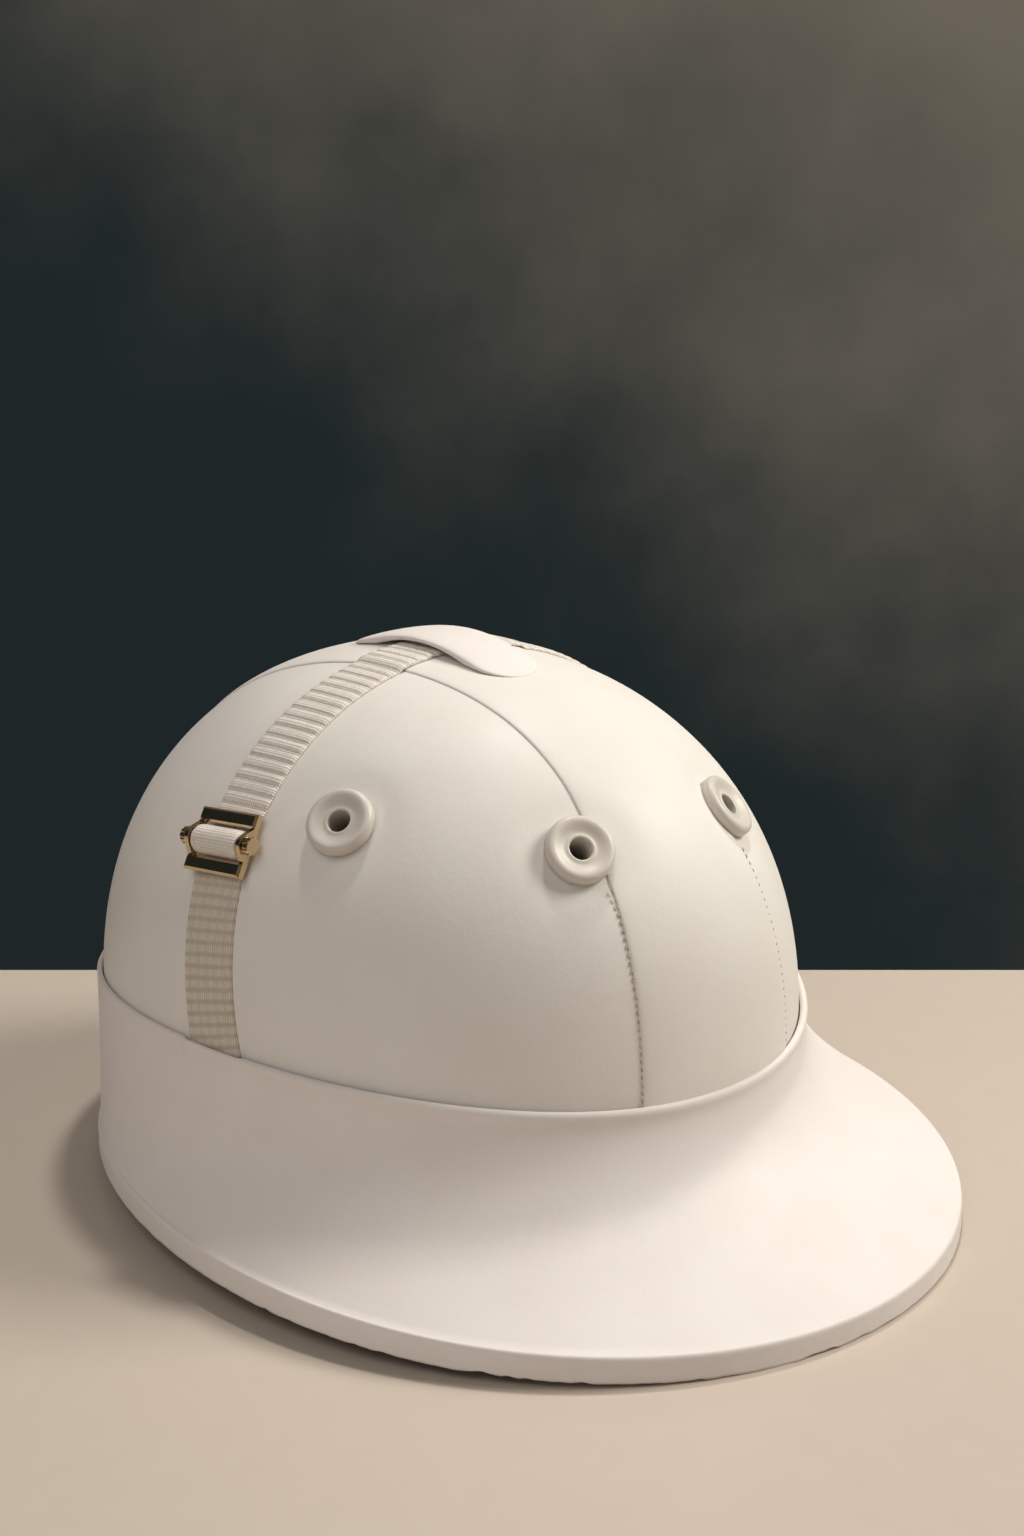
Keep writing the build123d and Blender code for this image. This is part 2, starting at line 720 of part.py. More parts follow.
def clip_socket():
    """The hollow half of the chin clip, open at the plug's end, with a window for each arm's head."""
    half = CLIP_LENGTH / 2
    mouth = CLIP_SOCKET_LENGTH - half
    tall = CLIP_HEIGHT / 2
    body = block(-half, mouth, -CLIP_THICK, 0, -tall, tall)
    body = fillet(body.edges().filter_by(Axis.Y), CLIP_ROUND)
    inner = tall - CLIP_WALL
    body -= block(
        -half + CLIP_PAD_LENGTH, 2 * mouth, CLIP_WALL - CLIP_THICK, -CLIP_WALL, -inner, inner
    )
    head_end = ARM_PIVOT_X - ARM_LENGTH - CLIP_CLEARANCE
    body -= block(
        head_end,
        head_end + CLIP_WINDOW_LENGTH,
        CLIP_WALL - CLIP_THICK,
        -CLIP_WALL,
        -2 * tall,
        2 * tall,
    )
    return body - clip_slot(-half + CLIP_PAD_LENGTH / 2)


def clip_plug():
    """The plug: its pad, the middle tongue, and a pocket for the root of each arm."""
    half = CLIP_LENGTH / 2
    start = CLIP_SOCKET_LENGTH - half + CLIP_CLEARANCE
    tall = CLIP_HEIGHT / 2
    middle = -CLIP_THICK / 2
    tongue_half = CLIP_THICK / 2 - CLIP_WALL - CLIP_CLEARANCE
    pad = block(start, half, -CLIP_THICK, 0, -tall, tall)
    pad = fillet(pad.edges().filter_by(Axis.Y), CLIP_ROUND)
    pad += block(
        start - TONGUE_LENGTH,
        start + CLIP_WALL,
        middle - tongue_half,
        middle + tongue_half,
        -TONGUE_HEIGHT / 2,
        TONGUE_HEIGHT / 2,
    )
    root = ARM_THICK / 2 + CLIP_CLEARANCE
    pocket = block(
        start - CLIP_CLEARANCE,
        ARM_PIVOT_X + root,
        middle - tongue_half - CLIP_CLEARANCE,
        middle + tongue_half + CLIP_CLEARANCE,
        ARM_SPREAD - root - ARM_SWING_ROOM,
        ARM_SPREAD + root,
    )
    pad -= pocket + mirror(pocket, about=Plane.XY)
    return pad - clip_slot(half - CLIP_PAD_LENGTH / 2)


def clip_arm(side):
    """One springy arm of the plug, hinged at its root, with the head that shows in the window."""
    half_thick = ARM_THICK / 2
    width_half = CLIP_THICK / 2 - CLIP_WALL - CLIP_CLEARANCE
    tip = ARM_PIVOT_X - ARM_LENGTH
    head_top = CLIP_HEIGHT / 2 + ARM_HEAD_PROUD - ARM_SPREAD
    outline = Wire(
        Polyline(
            [
                (ARM_PIVOT_X, 0, -half_thick),
                (tip, 0, -half_thick),
                (tip, 0, half_thick),
                (tip + half_thick, 0, head_top),
                (tip + ARM_HEAD_LENGTH, 0, head_top),
                (tip + ARM_HEAD_LENGTH, 0, half_thick),
                (ARM_PIVOT_X, 0, half_thick),
            ],
            close=True,
        )
    )
    arm = extrude(Face(outline), width_half, dir=(0, 1, 0), both=True)
    arm += Pos(ARM_PIVOT_X, 0, 0) * (Rot(90, 0, 0) * rod(half_thick, -width_half, width_half))
    if side < 0:
        arm = mirror(arm, about=Plane.XY)
    return Pos(0, -CLIP_THICK / 2, side * ARM_SPREAD) * arm


def chin_rivet(side):
    """A rivet through the chin strap, sweatband and liner into the shell."""
    across = CROWN_HALF_WIDTH - CHIN_DEPTH
    x = across * sqrt(1 - (RIVET_Y / (CROWN_FRONT - CHIN_DEPTH)) ** 2)
    normal = Vector(x / across**2, RIVET_Y / (CROWN_FRONT - CHIN_DEPTH) ** 2, 0)
    out = Vector(side * normal.X, normal.Y, 0)
    frame = Plane(origin=(side * x, RIVET_Y, CHIN_STRAP_Z), z_dir=out.normalized())
    sag = RIVET_HEAD_RADIUS**2 / (2 * across)
    under = -CHIN_STRAP_THICK - sag - RIVET_FIT
    length = CHIN_DEPTH - NECK_LINER_DEPTH
    shank = rod(RIVET_RADIUS, under, length)
    head = rod(RIVET_HEAD_RADIUS, under - RIVET_HEAD_THICK, under)
    head = chamfer(head.edges().sort_by(Axis.Z)[0], RIVET_HEAD_THICK / 2)
    return frame * (head + shank), frame * rod(RIVET_RADIUS, 2 * under, length)


def piece(name, shape, colour):
    """Moves a finished piece into the part's frame and writes it."""
    placed = Pos(0, CENTRE_Y, 0) * shape
    solids = placed.solids()
    placed = solids[0] if len(solids) == 1 else Compound(children=solids)
    placed.label = name
    placed.color = Color(*colour)
    export_step(placed, "parts/" + name + ".step")
    print(name, len(solids), round(sum(s.volume for s in solids)))


def build():
    """Makes every piece and writes it."""
    leather = (0.88, 0.84, 0.78)
    webbing = (0.82, 0.78, 0.70)
    metal = (0.80, 0.72, 0.58)
    foam = (0.16, 0.16, 0.17)
    plastic = (0.08, 0.08, 0.09)

    band_top = dome(-BAND_RAISE)
    crown = dome(0)
    shell_top = inner_dome(SHELL_DEPTH)
    neck = inner_dome(NECK_DEPTH)
    liner_top = inner_dome(LINER_DEPTH)
    neck_inside = inner_dome(NECK_LINER_DEPTH)
    inside = inner_dome(INSIDE_DEPTH)
    pad_inside = inner_dome(SWEATBAND_DEPTH)
    over_tuck = above_joint(TUCK)
    over_shoulder = above_joint(TUCK - SHOULDER)
    over_shell_edge = slab(SHELL_BOTTOM_Z, 2 * CROWN_TOP_Z)
    places = eyelet_places()
    hole_radius = EYELET_HOLE_RADIUS + EYELET_WALL
    hole = rod(hole_radius, -2 * SWEATBAND_DEPTH, EYELET_RADIUS)
    seat = rod(EYELET_RADIUS, -EYELET_SEAT, EYELET_RADIUS)
    holes = [frame * hole for frame in places]
    seats = [frame * seat for frame in places]
    rivets = [chin_rivet(side) for side in (-1, 1)]
    shanks = [shank for _, shank in rivets]

    # Leather over the crown
    seams = band_region()
    band = (crown - shell_top) & over_tuck
    band += (band_top - crown) & above_joint(WELT_RADIUS)
    band = (band & seams) - holes - seats
    piece("cover_band", band, leather)
    panels = (((crown - shell_top) & over_tuck) - seams - holes - seats).solids()
    right, left = sorted(panels, key=lambda solid: solid.center().X)
    piece("cover_panel_right", right, leather)
    piece("cover_panel_left", left, leather)

    # Shell, liner and lining
    upper = (shell_top - liner_top) & over_tuck
    lower = ((neck - neck_inside) & over_shell_edge) - over_shoulder
    piece("outer_shell", (upper + lower) - holes - shanks, plastic)
    liner_skin = neck_inside + (liner_top & over_shoulder)
    liner = (liner_skin & over_shell_edge) - inside - holes - shanks
    piece("impact_liner", liner, foam)
    pad_under = inner_dome(INSIDE_DEPTH + CROWN_PAD_THICK)
    piece("crown_pad", ring(inside, pad_under, CROWN_PAD_LOW_Z, CROWN_TOP_Z), foam)
    size_pads = ring(inside, pad_inside, SHELL_BOTTOM_Z, SIZE_PAD_HIGH_Z)
    far = CROWN_FRONT
    half = SIZE_PAD_HALF_WIDTH
    front_half = block(-half, half, -far, 0, 0, CROWN_TOP_Z)
    rear_half = block(-half, half, 0, far, 0, CROWN_TOP_Z)
    piece("size_pad_front", size_pads & front_half, foam)
    piece("size_pad_rear", size_pads & rear_half, foam)
    sweat_inside = inner_dome(SWEATBAND_DEPTH + SWEATBAND_THICK)
    sweatband = ring(pad_inside, sweat_inside, SWEATBAND_LOW_Z, SWEATBAND_HIGH_Z)
    piece("sweatband", sweatband - shanks, leather)
    binding_low = SHELL_BOTTOM_Z - BINDING_THICK
    binding = ring(inner_dome(BINDING_DEPTH), pad_inside, binding_low, SHELL_BOTTOM_Z)
    piece("edge_binding", binding, leather)

    # Brim
    floor = slab(0, CROWN_TOP_Z)
    strap_space = strap_region()
    strap_top = dome(-STRAP_THICK)
    side_strap = (strap_top - crown) & strap_space
    cover = (brim_form(0) - brim_form(BRIM_LEATHER, 0, OVERRUN)) & floor
    piece("brim_cover", both_sides(cover), leather)
    under = brim_form(BRIM_STACK, RIM_LAND, OVERRUN)
    neck_seat = neck & over_shell_edge
    core = (brim_form(BRIM_LEATHER) - under) & floor
    piece("brim_core", both_sides(core - neck_seat - over_tuck), plastic)
    under_lining = brim_form(BRIM_STACK + BRIM_LINING, RIM_LAND + BRIM_LINING, OVERRUN)
    lining_face = brim_form(BRIM_STACK + LINING_GAP, RIM_LAND + LINING_GAP)
    skin = (lining_face - under_lining) & floor
    lining_seat = inner_dome(NECK_DEPTH - LINING_FIT) & over_shell_edge
    skin = both_sides(skin - lining_seat - over_tuck)
    piece("brim_lining", max(skin.solids(), key=lambda solid: solid.volume), leather)
    piping = both_sides(lip_piping() - crown)
    piece("lip_piping", piping - band - side_strap, leather)

    # Eyelets
    eyelets = []
    washers = []
    for frame in places:
        length = inward(frame, INSIDE_DEPTH)
        eyelets.append(frame * eyelet(length))
        washers.append(frame * washer(length))
    piece("vent_eyelets", Compound(children=eyelets), leather)
    piece("eyelet_washers", Compound(children=washers), metal)

    # Strap, top loop and buckle
    frame = buckle_plane()
    middle_gap = frame * Box(2 * STRAP_WIDTH, 2 * STRAP_GAP, BUCKLE_LENGTH)
    raised_top = dome(-BAND_RAISE - STRAP_THICK)
    lap = STRAP_THICK
    over_band = block(
        -BAND_MIDDLE - lap, BAND_MIDDLE + lap, -far, far, CROWN_WIDEST_Z, 2 * CROWN_TOP_Z
    )
    strap = side_strap - band - over_band
    strap += (raised_top - band_top) & strap_space & over_band
    strap = strap - middle_gap
    lower_strap, over_strap = sorted(strap.solids(), key=lambda solid: solid.volume)[-2:]
    piece("strap_over", over_strap, webbing)
    piece("strap_lower", lower_strap, webbing)
    piece("top_loop", top_loop(band_top), leather)
    piece("buckle_frame", frame * buckle_frame(), metal)
    piece("buckle_bar", frame * buckle_bar(), metal)
    piece("strap_fold", frame * strap_fold(), webbing)
    print("buckle origin", frame.origin, "along", frame.y_dir, "out", frame.z_dir)

    # Chin harness
    strap_low = CHIN_STRAP_Z - CHIN_STRAP_WIDTH / 2
    chin_inside = inner_dome(CHIN_DEPTH + CHIN_STRAP_THICK)
    chin = ring(inner_dome(CHIN_DEPTH), chin_inside, strap_low, strap_low + CHIN_STRAP_WIDTH)
    near = CLIP_LENGTH / 2 - STRAP_BEHIND_CLIP
    rear_end = RIVET_Y - STRAP_END_PAST
    for name, side in (("right", -1), ("left", 1)):
        reach = sorted((side * near, side * far))
        keep = block(reach[0], reach[1], rear_end, 2 * far, 0, CROWN_TOP_Z)
        piece("chin_strap_" + name, (chin & keep) - shanks, webbing)
    piece("chin_rivets", Compound(children=[rivet for rivet, _ in rivets]), metal)
    piece("clip_socket", clip_place(clip_socket()), plastic)
    piece("clip_plug", clip_place(clip_plug()), plastic)
    piece("clip_arm_upper", clip_place(clip_arm(1)), plastic)
    piece("clip_arm_lower", clip_place(clip_arm(-1)), plastic)
    pivot = clip_place(Pos(ARM_PIVOT_X, -CLIP_THICK / 2, ARM_SPREAD) * Vertex(0, 0, 0))
    print("upper arm pivot", pivot.center() + Vector(0, CENTRE_Y, 0))


if __name__ == "__main__":
    os.makedirs("parts", exist_ok=True)
    build()
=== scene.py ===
"""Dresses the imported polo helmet: its leather, webbing, padding and metal, the floor, light and camera.

All lengths are millimetres in the crown's own frame, whose middle lies 33.4 mm behind the row's origin,
and turn to metres in the row's frame where a mesh is made.
"""

from __future__ import annotations

import json
import logging
import math
from collections.abc import Sequence
from dataclasses import dataclass
from enum import Enum

import bmesh
import bpy
import numpy as np
from bpy.types import Material, Node, NodeSocket, NodeTree, Object
from mathutils import Matrix, Vector

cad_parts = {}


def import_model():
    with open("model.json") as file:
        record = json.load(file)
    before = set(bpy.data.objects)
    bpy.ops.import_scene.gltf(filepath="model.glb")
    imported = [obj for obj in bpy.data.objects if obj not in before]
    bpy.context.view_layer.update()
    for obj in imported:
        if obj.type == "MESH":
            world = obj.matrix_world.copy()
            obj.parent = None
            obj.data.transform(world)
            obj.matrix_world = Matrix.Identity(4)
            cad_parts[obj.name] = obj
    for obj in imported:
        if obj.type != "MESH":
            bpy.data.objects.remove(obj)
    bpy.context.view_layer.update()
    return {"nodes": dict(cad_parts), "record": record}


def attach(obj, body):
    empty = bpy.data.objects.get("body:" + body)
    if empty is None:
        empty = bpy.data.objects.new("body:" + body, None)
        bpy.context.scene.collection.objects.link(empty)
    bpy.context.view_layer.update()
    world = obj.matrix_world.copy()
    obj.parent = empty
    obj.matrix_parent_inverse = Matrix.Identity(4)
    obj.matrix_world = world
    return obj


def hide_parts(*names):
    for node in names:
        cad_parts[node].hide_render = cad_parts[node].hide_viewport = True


LOG = logging.getLogger("polo_helmet")
MM = 0.001
CROWN_SHIFT = np.array([0.0, 33.4, 0.0])
HELMET = "helmet"


def linear(colour: str) -> tuple[float, float, float, float]:
    """Turns an sRGB hex colour to linear values.

    Args:
        colour: Six hex digits.

    Returns:
        Red, green, blue and a full alpha.
    """
    parts = [int(colour[i : i + 2], 16) / 255 for i in (0, 2, 4)]
    values = [p / 12.92 if p <= 0.04045 else ((p + 0.055) / 1.055) ** 2.4 for p in parts]
    return values[0], values[1], values[2], 1.0


def add_node(
    tree: NodeTree,
    kind: str,
    settings: dict[str | int, object] | None = None,
    links: dict[str | int, NodeSocket] | None = None,
) -> Node:
    """Adds one node with its settings and links.

    Args:
        tree: The material's or the world's node tree.
        kind: Blender's name of the node's type.
        settings: Values by the name of a property, or of an input where there is no such property.
        links: Output sockets by the name or number of the input that each goes to.

    Returns:
        The new node.
    """
    node = tree.nodes.new(kind)
    for key, value in (settings or {}).items():
        if isinstance(key, str) and hasattr(node, key):
            setattr(node, key, value)
        else:
            node.inputs[key].default_value = value
    for key, socket in (links or {}).items():
        tree.links.new(socket, node.inputs[key])
    return node


class Coordinates(Enum):
    """Which coordinates a pattern is laid out by."""

    OBJECT = "Object"
    ALONG = "UV"


class Surface:
    """One material in the making: its tree, and short ways to add what every finish needs."""

    def __init__(self, name: str, coordinates: Coordinates = Coordinates.OBJECT) -> None:
        """Starts an empty material.

        Args:
            name: The material's name.
            coordinates: What its patterns are laid out by.
        """
        self.material = bpy.data.materials.new(name)
        self.material.use_nodes = True
        self.tree = self.material.node_tree
        self.tree.nodes.clear()
        self.place = add_node(self.tree, "ShaderNodeTexCoord").outputs[coordinates.value]

    def pattern(self, kind: str, size_mm: float, settings: dict[str | int, object]) -> Node:
        """Adds a pattern of a real size.

        Args:
            kind: The pattern's name, as the node's type ends.
            size_mm: How far apart its forms lie.
            settings: Its other values.

        Returns:
            The pattern's node.
        """
        scale = {"Scale": 1 / (size_mm * MM)}
        return add_node(self.tree, "ShaderNodeTex" + kind, scale | settings, {"Vector": self.place})

    def pores(self, size_mm: float, smoothness: float) -> NodeSocket:
        """Rounded cells of a real size, as heights."""
        settings = {"feature": "SMOOTH_F1", "Smoothness": smoothness}
        return self.pattern("Voronoi", size_mm, settings).outputs["Distance"]

    def mottle(self, size_mm: float, detail: float, rough: float = 0.5) -> NodeSocket:
        """Cloudy patches of a real size."""
        return self.pattern("Noise", size_mm, {"Detail": detail, "Roughness": rough}).outputs["Fac"]

    def levels(
        self, value: NodeSocket, given: tuple[float, float], wanted: tuple[float, float]
    ) -> NodeSocket:
        """Maps one range of a value to another.

        Args:
            value: The socket to map.
            given: The range that it comes in.
            wanted: The range that it leaves in.

        Returns:
            The mapped value.
        """
        names = ("From Min", "From Max", "To Min", "To Max")
        settings = dict(zip(names, given + wanted))
        return add_node(self.tree, "ShaderNodeMapRange", settings, {"Value": value}).outputs["Result"]

    def blend(self, share: NodeSocket, first: str, second: str) -> NodeSocket:
        """Blends two hex colours by a share of the second."""
        settings = {"data_type": "RGBA", 6: linear(first), 7: linear(second)}
        return add_node(self.tree, "ShaderNodeMix", settings, {0: share}).outputs[2]

    def bump(
        self,
        height: NodeSocket,
        strength: float,
        depth_mm: float,
        under: NodeSocket | None = None,
    ) -> NodeSocket:
        """Turns heights to a rough surface.

        Args:
            height: The heights.
            strength: How strongly they show.
            depth_mm: How deep they are.
            under: The coarser or finer roughness that they lie on.

        Returns:
            The surface's direction.
        """
        links = {"Height": height} | ({"Normal": under} if under else {})
        settings = {"Strength": strength, "Distance": depth_mm * MM}
        return add_node(self.tree, "ShaderNodeBump", settings, links).outputs["Normal"]

    def finish(
        self, settings: dict[str, object], links: dict[str, NodeSocket]
    ) -> Material:
        """Ends the material in a principled surface.

        Args:
            settings: Constant values of the surface's own sockets.
            links: The sockets that carry a pattern.

        Returns:
            The finished material.
        """
        surface = add_node(self.tree, "ShaderNodeBsdfPrincipled", settings, links)
        add_node(self.tree, "ShaderNodeOutputMaterial", links={"Surface": surface.outputs["BSDF"]})
        return self.material


@dataclass(frozen=True)
class Leather:
    """Smooth full-grain leather with a pigmented top coat: fine pores and a soft, wide highlight."""

    name: str
    colour: str
    shade: str
    grain_mm: float = 0.9
    grain_depth_mm: float = 0.05
    swell_mm: float = 26.0
    roughness: float = 0.56
    coat: float = 0.05

    def material(self) -> Material:
        """Builds the leather, whose colour varies slightly over a hand's width and between its pores."""
        made = Surface(self.name)
        pores = made.pores(self.grain_mm, 0.6)
        creases = made.mottle(3.2 * self.grain_mm, 6.0, 0.62)
        tone = made.levels(made.mottle(self.swell_mm, 3.0), (0.35, 0.7), (0.0, 0.35))
        gloss = made.levels(creases, (0.3, 0.7), (self.roughness - 0.05, self.roughness + 0.07))
        fine = made.bump(pores, 0.35, self.grain_depth_mm)
        return made.finish(
            {
                "Coat Weight": self.coat,
                "Coat Roughness": 0.3,
                "Subsurface Weight": 0.04,
                "Subsurface Scale": 1.5 * MM,
                "IOR": 1.45,
            },
            {
                "Base Color": made.blend(tone, self.colour, self.shade),
                "Roughness": gloss,
                "Normal": made.bump(creases, 0.5, 2 * self.grain_depth_mm, fine),
            },
        )


@dataclass(frozen=True)
class Woven:
    """Woven webbing or cloth: threads across and along, with painted shade between them, a dry surface with a
    little sheen.
    """

    name: str
    colour: str
    # The colour down between the threads: painted shade
    shade: str
    thread_mm: float
    pick_mm: float
    depth_mm: float = 0.25
    roughness: float = 0.78
    coordinates: Coordinates = Coordinates.ALONG
    fuzz_share: float = 0.35

    def material(self) -> Material:
        """Builds the weave from two crossed waves, with painted shade darkening the colour between the
        threads.
        """
        made = Surface(self.name, self.coordinates)
        across, along = (
            made.pattern(
                "Wave",
                10 * pitch / math.pi,
                {
                    "wave_type": "BANDS",
                    "bands_direction": way,
                    "Distortion": distortion,
                    "Detail Scale": 2.0,
                },
            ).outputs["Fac"]
            for way, pitch, distortion in (("X", self.thread_mm, 0.6), ("Y", self.pick_mm, 0.5))
        )
        weave = add_node(made.tree, "ShaderNodeMath", {"operation": "MULTIPLY"}, {0: across, 1: along})
        made.place = add_node(made.tree, "ShaderNodeTexCoord").outputs["Object"]
        height = add_node(
            made.tree,
            "ShaderNodeMath",
            {"operation": "MULTIPLY_ADD", 1: self.fuzz_share},
            {0: made.mottle(2.5, 4.0), 2: weave.outputs["Value"]},
        ).outputs["Value"]
        # Painted shade: the colour runs from the shade colour in the hollows between threads to the thread
        # colour on their tops
        tone = made.levels(height, (0.1, 0.75), (0.0, 1.0))
        return made.finish(
            {"Roughness": self.roughness, "Sheen Weight": 0.2, "Sheen Roughness": 0.5},
            {
                "Base Color": made.blend(tone, self.shade, self.colour),
                "Normal": made.bump(height, 0.8, self.depth_mm),
            },
        )


@dataclass(frozen=True)
class Plated:
    """Polished plated brass: a clean mirror with faint wiping marks."""

    name: str
    colour: str
    roughness: float = 0.16

    def material(self) -> Material:
        """Builds the metal, a little duller in patches."""
        made = Surface(self.name)
        patches = made.mottle(4, 5.0)
        gloss = made.levels(patches, (0.0, 1.0), (self.roughness - 0.05, self.roughness + 0.08))
        return made.finish(
            {"Base Color": linear(self.colour), "Metallic": 1.0},
            {"Roughness": gloss, "Normal": made.bump(patches, 0.15, 0.02)},
        )


@dataclass(frozen=True)
class Moulded:
    """Moulded, pressed or sprayed stuff of one colour: board, laminate, foam, enamel or plastic."""

    name: str
    colour: str
    shade: str
    cell_mm: float
    depth_mm: float
    roughness: float
    coat: float = 0.0

    def material(self) -> Material:
        """Builds the surface from rounded cells of the real beads, fibres or spray."""
        made = Surface(self.name)
        cells = made.pores(self.cell_mm, 0.4)
        return made.finish(
            {"Roughness": self.roughness, "Coat Weight": self.coat, "Coat Roughness": 0.2},
            {
                "Base Color": made.blend(made.mottle(8 * self.cell_mm, 4.0), self.colour, self.shade),
                "Normal": made.bump(cells, 0.5, self.depth_mm),
            },
        )


# Each finish by its material slot; the last two are further looks of the slots webbing and crown_leather
FINISHES = {
    # Pigmented calf leather: almost no grain shows, and the light spreads softly over it
    "crown_leather": Leather("crown_leather", "E4E0D9", "DCD5CB"),
    # The same leather, wet-formed over the brim, a shade pinker and drier
    "brim_leather": Leather("brim_leather", "E6E0DB", "DDD4CD", roughness=0.6),
    # Vegetable-tanned lining leather: tan, matt, with open pores
    "lining_leather": Leather("lining_leather", "B79A76", "9C7F5E", 1.3, 0.08, roughness=0.6, coat=0.0),
    # Pressed fibre board: dull brown with short fibres
    "fibre_board": Moulded("fibre_board", "5A4A3A", "453828", 0.8, 0.08, 0.85),
    # Resin laminate: dark and smooth
    "shell_laminate": Moulded("shell_laminate", "2B2C2E", "1F2022", 1.2, 0.03, 0.45),
    # Moulded bead foam: charcoal, with 3 mm beads pressed flat
    "liner_foam": Moulded("bead_foam", "303134", "26272A", 3.0, 0.25, 0.9),
    # Brushed knitted cloth: charcoal and soft
    "lining_cloth": Woven("lining_cloth", "55565B", "2E2F33", 1.1, 1.4, 0.2, 0.95, Coordinates.OBJECT),
    # Open-cell foam: dark grey, with fine pores
    "pad_foam": Moulded("open_cell_foam", "4A4A4D", "3B3B3E", 0.9, 0.12, 0.95),
    # Stove enamel over pressed metal: cream, smoother than the leather beside it
    "eyelet_enamel": Moulded("satin_enamel", "D2CCC2", "C9C2B7", 0.7, 0.012, 0.46, 0.1),
    # Cotton-look webbing: cream threads about half a millimetre thick, with painted shade between them
    "webbing": Woven("cream_webbing", "F3EFE7", "CFC6B8", 0.95, 0.9),
    # Pale gold plating: champagne, mirror smooth
    "buckle_metal": Plated("gold_plate", "E2C9A4"),
    # Brass rivets, duller from handling
    "rivet_metal": Plated("rivet_brass", "C9AC72", 0.3),
    # Black polyester webbing
    "chin_webbing": Woven("black_webbing", "2A2A2C", "0E0E10", 1.2, 1.0),
    # Moulded acetal: black, finely sparked
    "clip_plastic": Moulded("moulded_acetal", "141415", "101011", 0.5, 0.02, 0.4),
    # The same webbing on the stretch below the buckle, made darker all over as painted shade, for that
    # stretch lies in shade: its cords show, with painted shade between
    "corded": Woven("corded_webbing", "DCD4C6", "B5A996", 0.9, 3.5),
    # Waxed sewing thread: a little darker than the leather
    "thread": Woven("sewing_thread", "D9CCBB", "8D7F6C", 0.5, 0.5, 0.1, 0.7, Coordinates.OBJECT),
}
Materials = dict[str, Material]


def to_row(points: np.ndarray) -> np.ndarray:
    """Points of the crown's frame, in millimetres, in the row's frame, in metres."""
    return (np.asarray(points, float).reshape(-1, 3) + CROWN_SHIFT) * MM


def mesh_object(
    name: str,
    points: np.ndarray,
    faces: list[tuple[int, ...]],
    material: Material,
    along: np.ndarray | None = None,
) -> Object:
    """Makes a smooth-shaded mesh object.

    Args:
        name: The piece's name.
        points: Its points in the crown's frame, in millimetres.
        faces: Its faces, by the numbers of their points.
        material: Its finish.
        along: For each point, how far across and along the cloth it lies, in millimetres.

    Returns:
        The new object.
    """
    mesh = bpy.data.meshes.new(name)
    mesh.from_pydata([tuple(p) for p in to_row(points)], [], faces)
    if along is not None:
        layer = mesh.uv_layers.new(name="cloth")
        corners = np.zeros(len(mesh.loops), dtype=np.int64)
        mesh.loops.foreach_get("vertex_index", corners)
        layer.data.foreach_set("uv", (np.asarray(along, float) * MM)[corners].ravel())
    mesh.validate()
    tidy = bmesh.new()
    tidy.from_mesh(mesh)
    bmesh.ops.recalc_face_normals(tidy, faces=tidy.faces)
    tidy.to_mesh(mesh)
    tidy.free()
    mesh.shade_smooth()
    mesh.materials.append(material)
    piece = bpy.data.objects.new(name, mesh)
    bpy.context.scene.collection.objects.link(piece)
    return piece


def quads(rows: int, columns: int, ring_rows: bool = False, ring_columns: bool = False) -> list:
    """The faces of a grid of points.

    Args:
        rows: How many rows of points there are.
        columns: How many points there are in a row.
        ring_rows: Whether the last row joins the first.
        ring_columns: Whether each row closes on itself.

    Returns:
        Four-cornered faces.
    """
    faces = []
    for r in range(rows if ring_rows else rows - 1):
        for c in range(columns if ring_columns else columns - 1):
            below, beside = (r + 1) % rows, (c + 1) % columns
            first, second = r * columns, below * columns
            faces.append((first + c, first + beside, second + beside, second + c))
    return faces


def end_caps(rows: int, columns: int) -> list[tuple[int, ...]]:
    """The faces that close a tube of rows of points at both ends."""
    last = (rows - 1) * columns
    return [tuple(range(columns)), tuple(last + i for i in reversed(range(columns)))]


def thick_sheet(
    top: np.ndarray, bottom: np.ndarray, keep: np.ndarray | None = None, ring_rows: bool = False
) -> tuple[np.ndarray, list]:
    """Closes two matching grids of points into one sheet with edges.

    Args:
        top: The outer grid, rows by columns by three.
        bottom: The inner grid of the same shape.
        keep: Which points belong; a face with a dropped point is left out.
        ring_rows: Whether the last row joins the first.

    Returns:
        The points and faces.
    """
    rows, columns = top.shape[:2]
    count = rows * columns
    used = np.ones(count, bool) if keep is None else keep.ravel()
    kept = [f for f in quads(rows, columns, ring_rows) if all(used[i] for i in f)]
    edges = dict.fromkeys(pair for face in kept for pair in zip(face, face[1:] + face[:1]))
    faces = kept + [tuple(count + i for i in reversed(face)) for face in kept]
    faces += [(b, a, count + a, count + b) for a, b in edges if (b, a) not in edges]
    points = np.concatenate([top.reshape(-1, 3), bottom.reshape(-1, 3)])
    return tidy_points(points, faces)


def tidy_points(points: np.ndarray, faces: list) -> tuple[np.ndarray, list]:
    """Drops the points that no face uses.

    Args:
        points: All points.
        faces: The faces.

    Returns:
        The points that are left, and the faces by their new numbers.
    """
    used = sorted({i for face in faces for i in face})
    number = {old: new for new, old in enumerate(used)}
    return points[used], [tuple(number[i] for i in face) for face in faces]


def bezier(points: list[tuple[float, float]], steps: int) -> np.ndarray:
    """Points along a Bezier curve of two to four control points.

    Args:
        points: The control points.
        steps: How many points to give.

    Returns:
        Steps by two coordinates.
    """
    t = np.linspace(0, 1, steps)[:, None]
    level = [np.broadcast_to(np.array(p, float), (steps, len(p))) for p in points]
    while len(level) > 1:
        level = [a * (1 - t) + b * t for a, b in zip(level, level[1:])]
    return level[0]


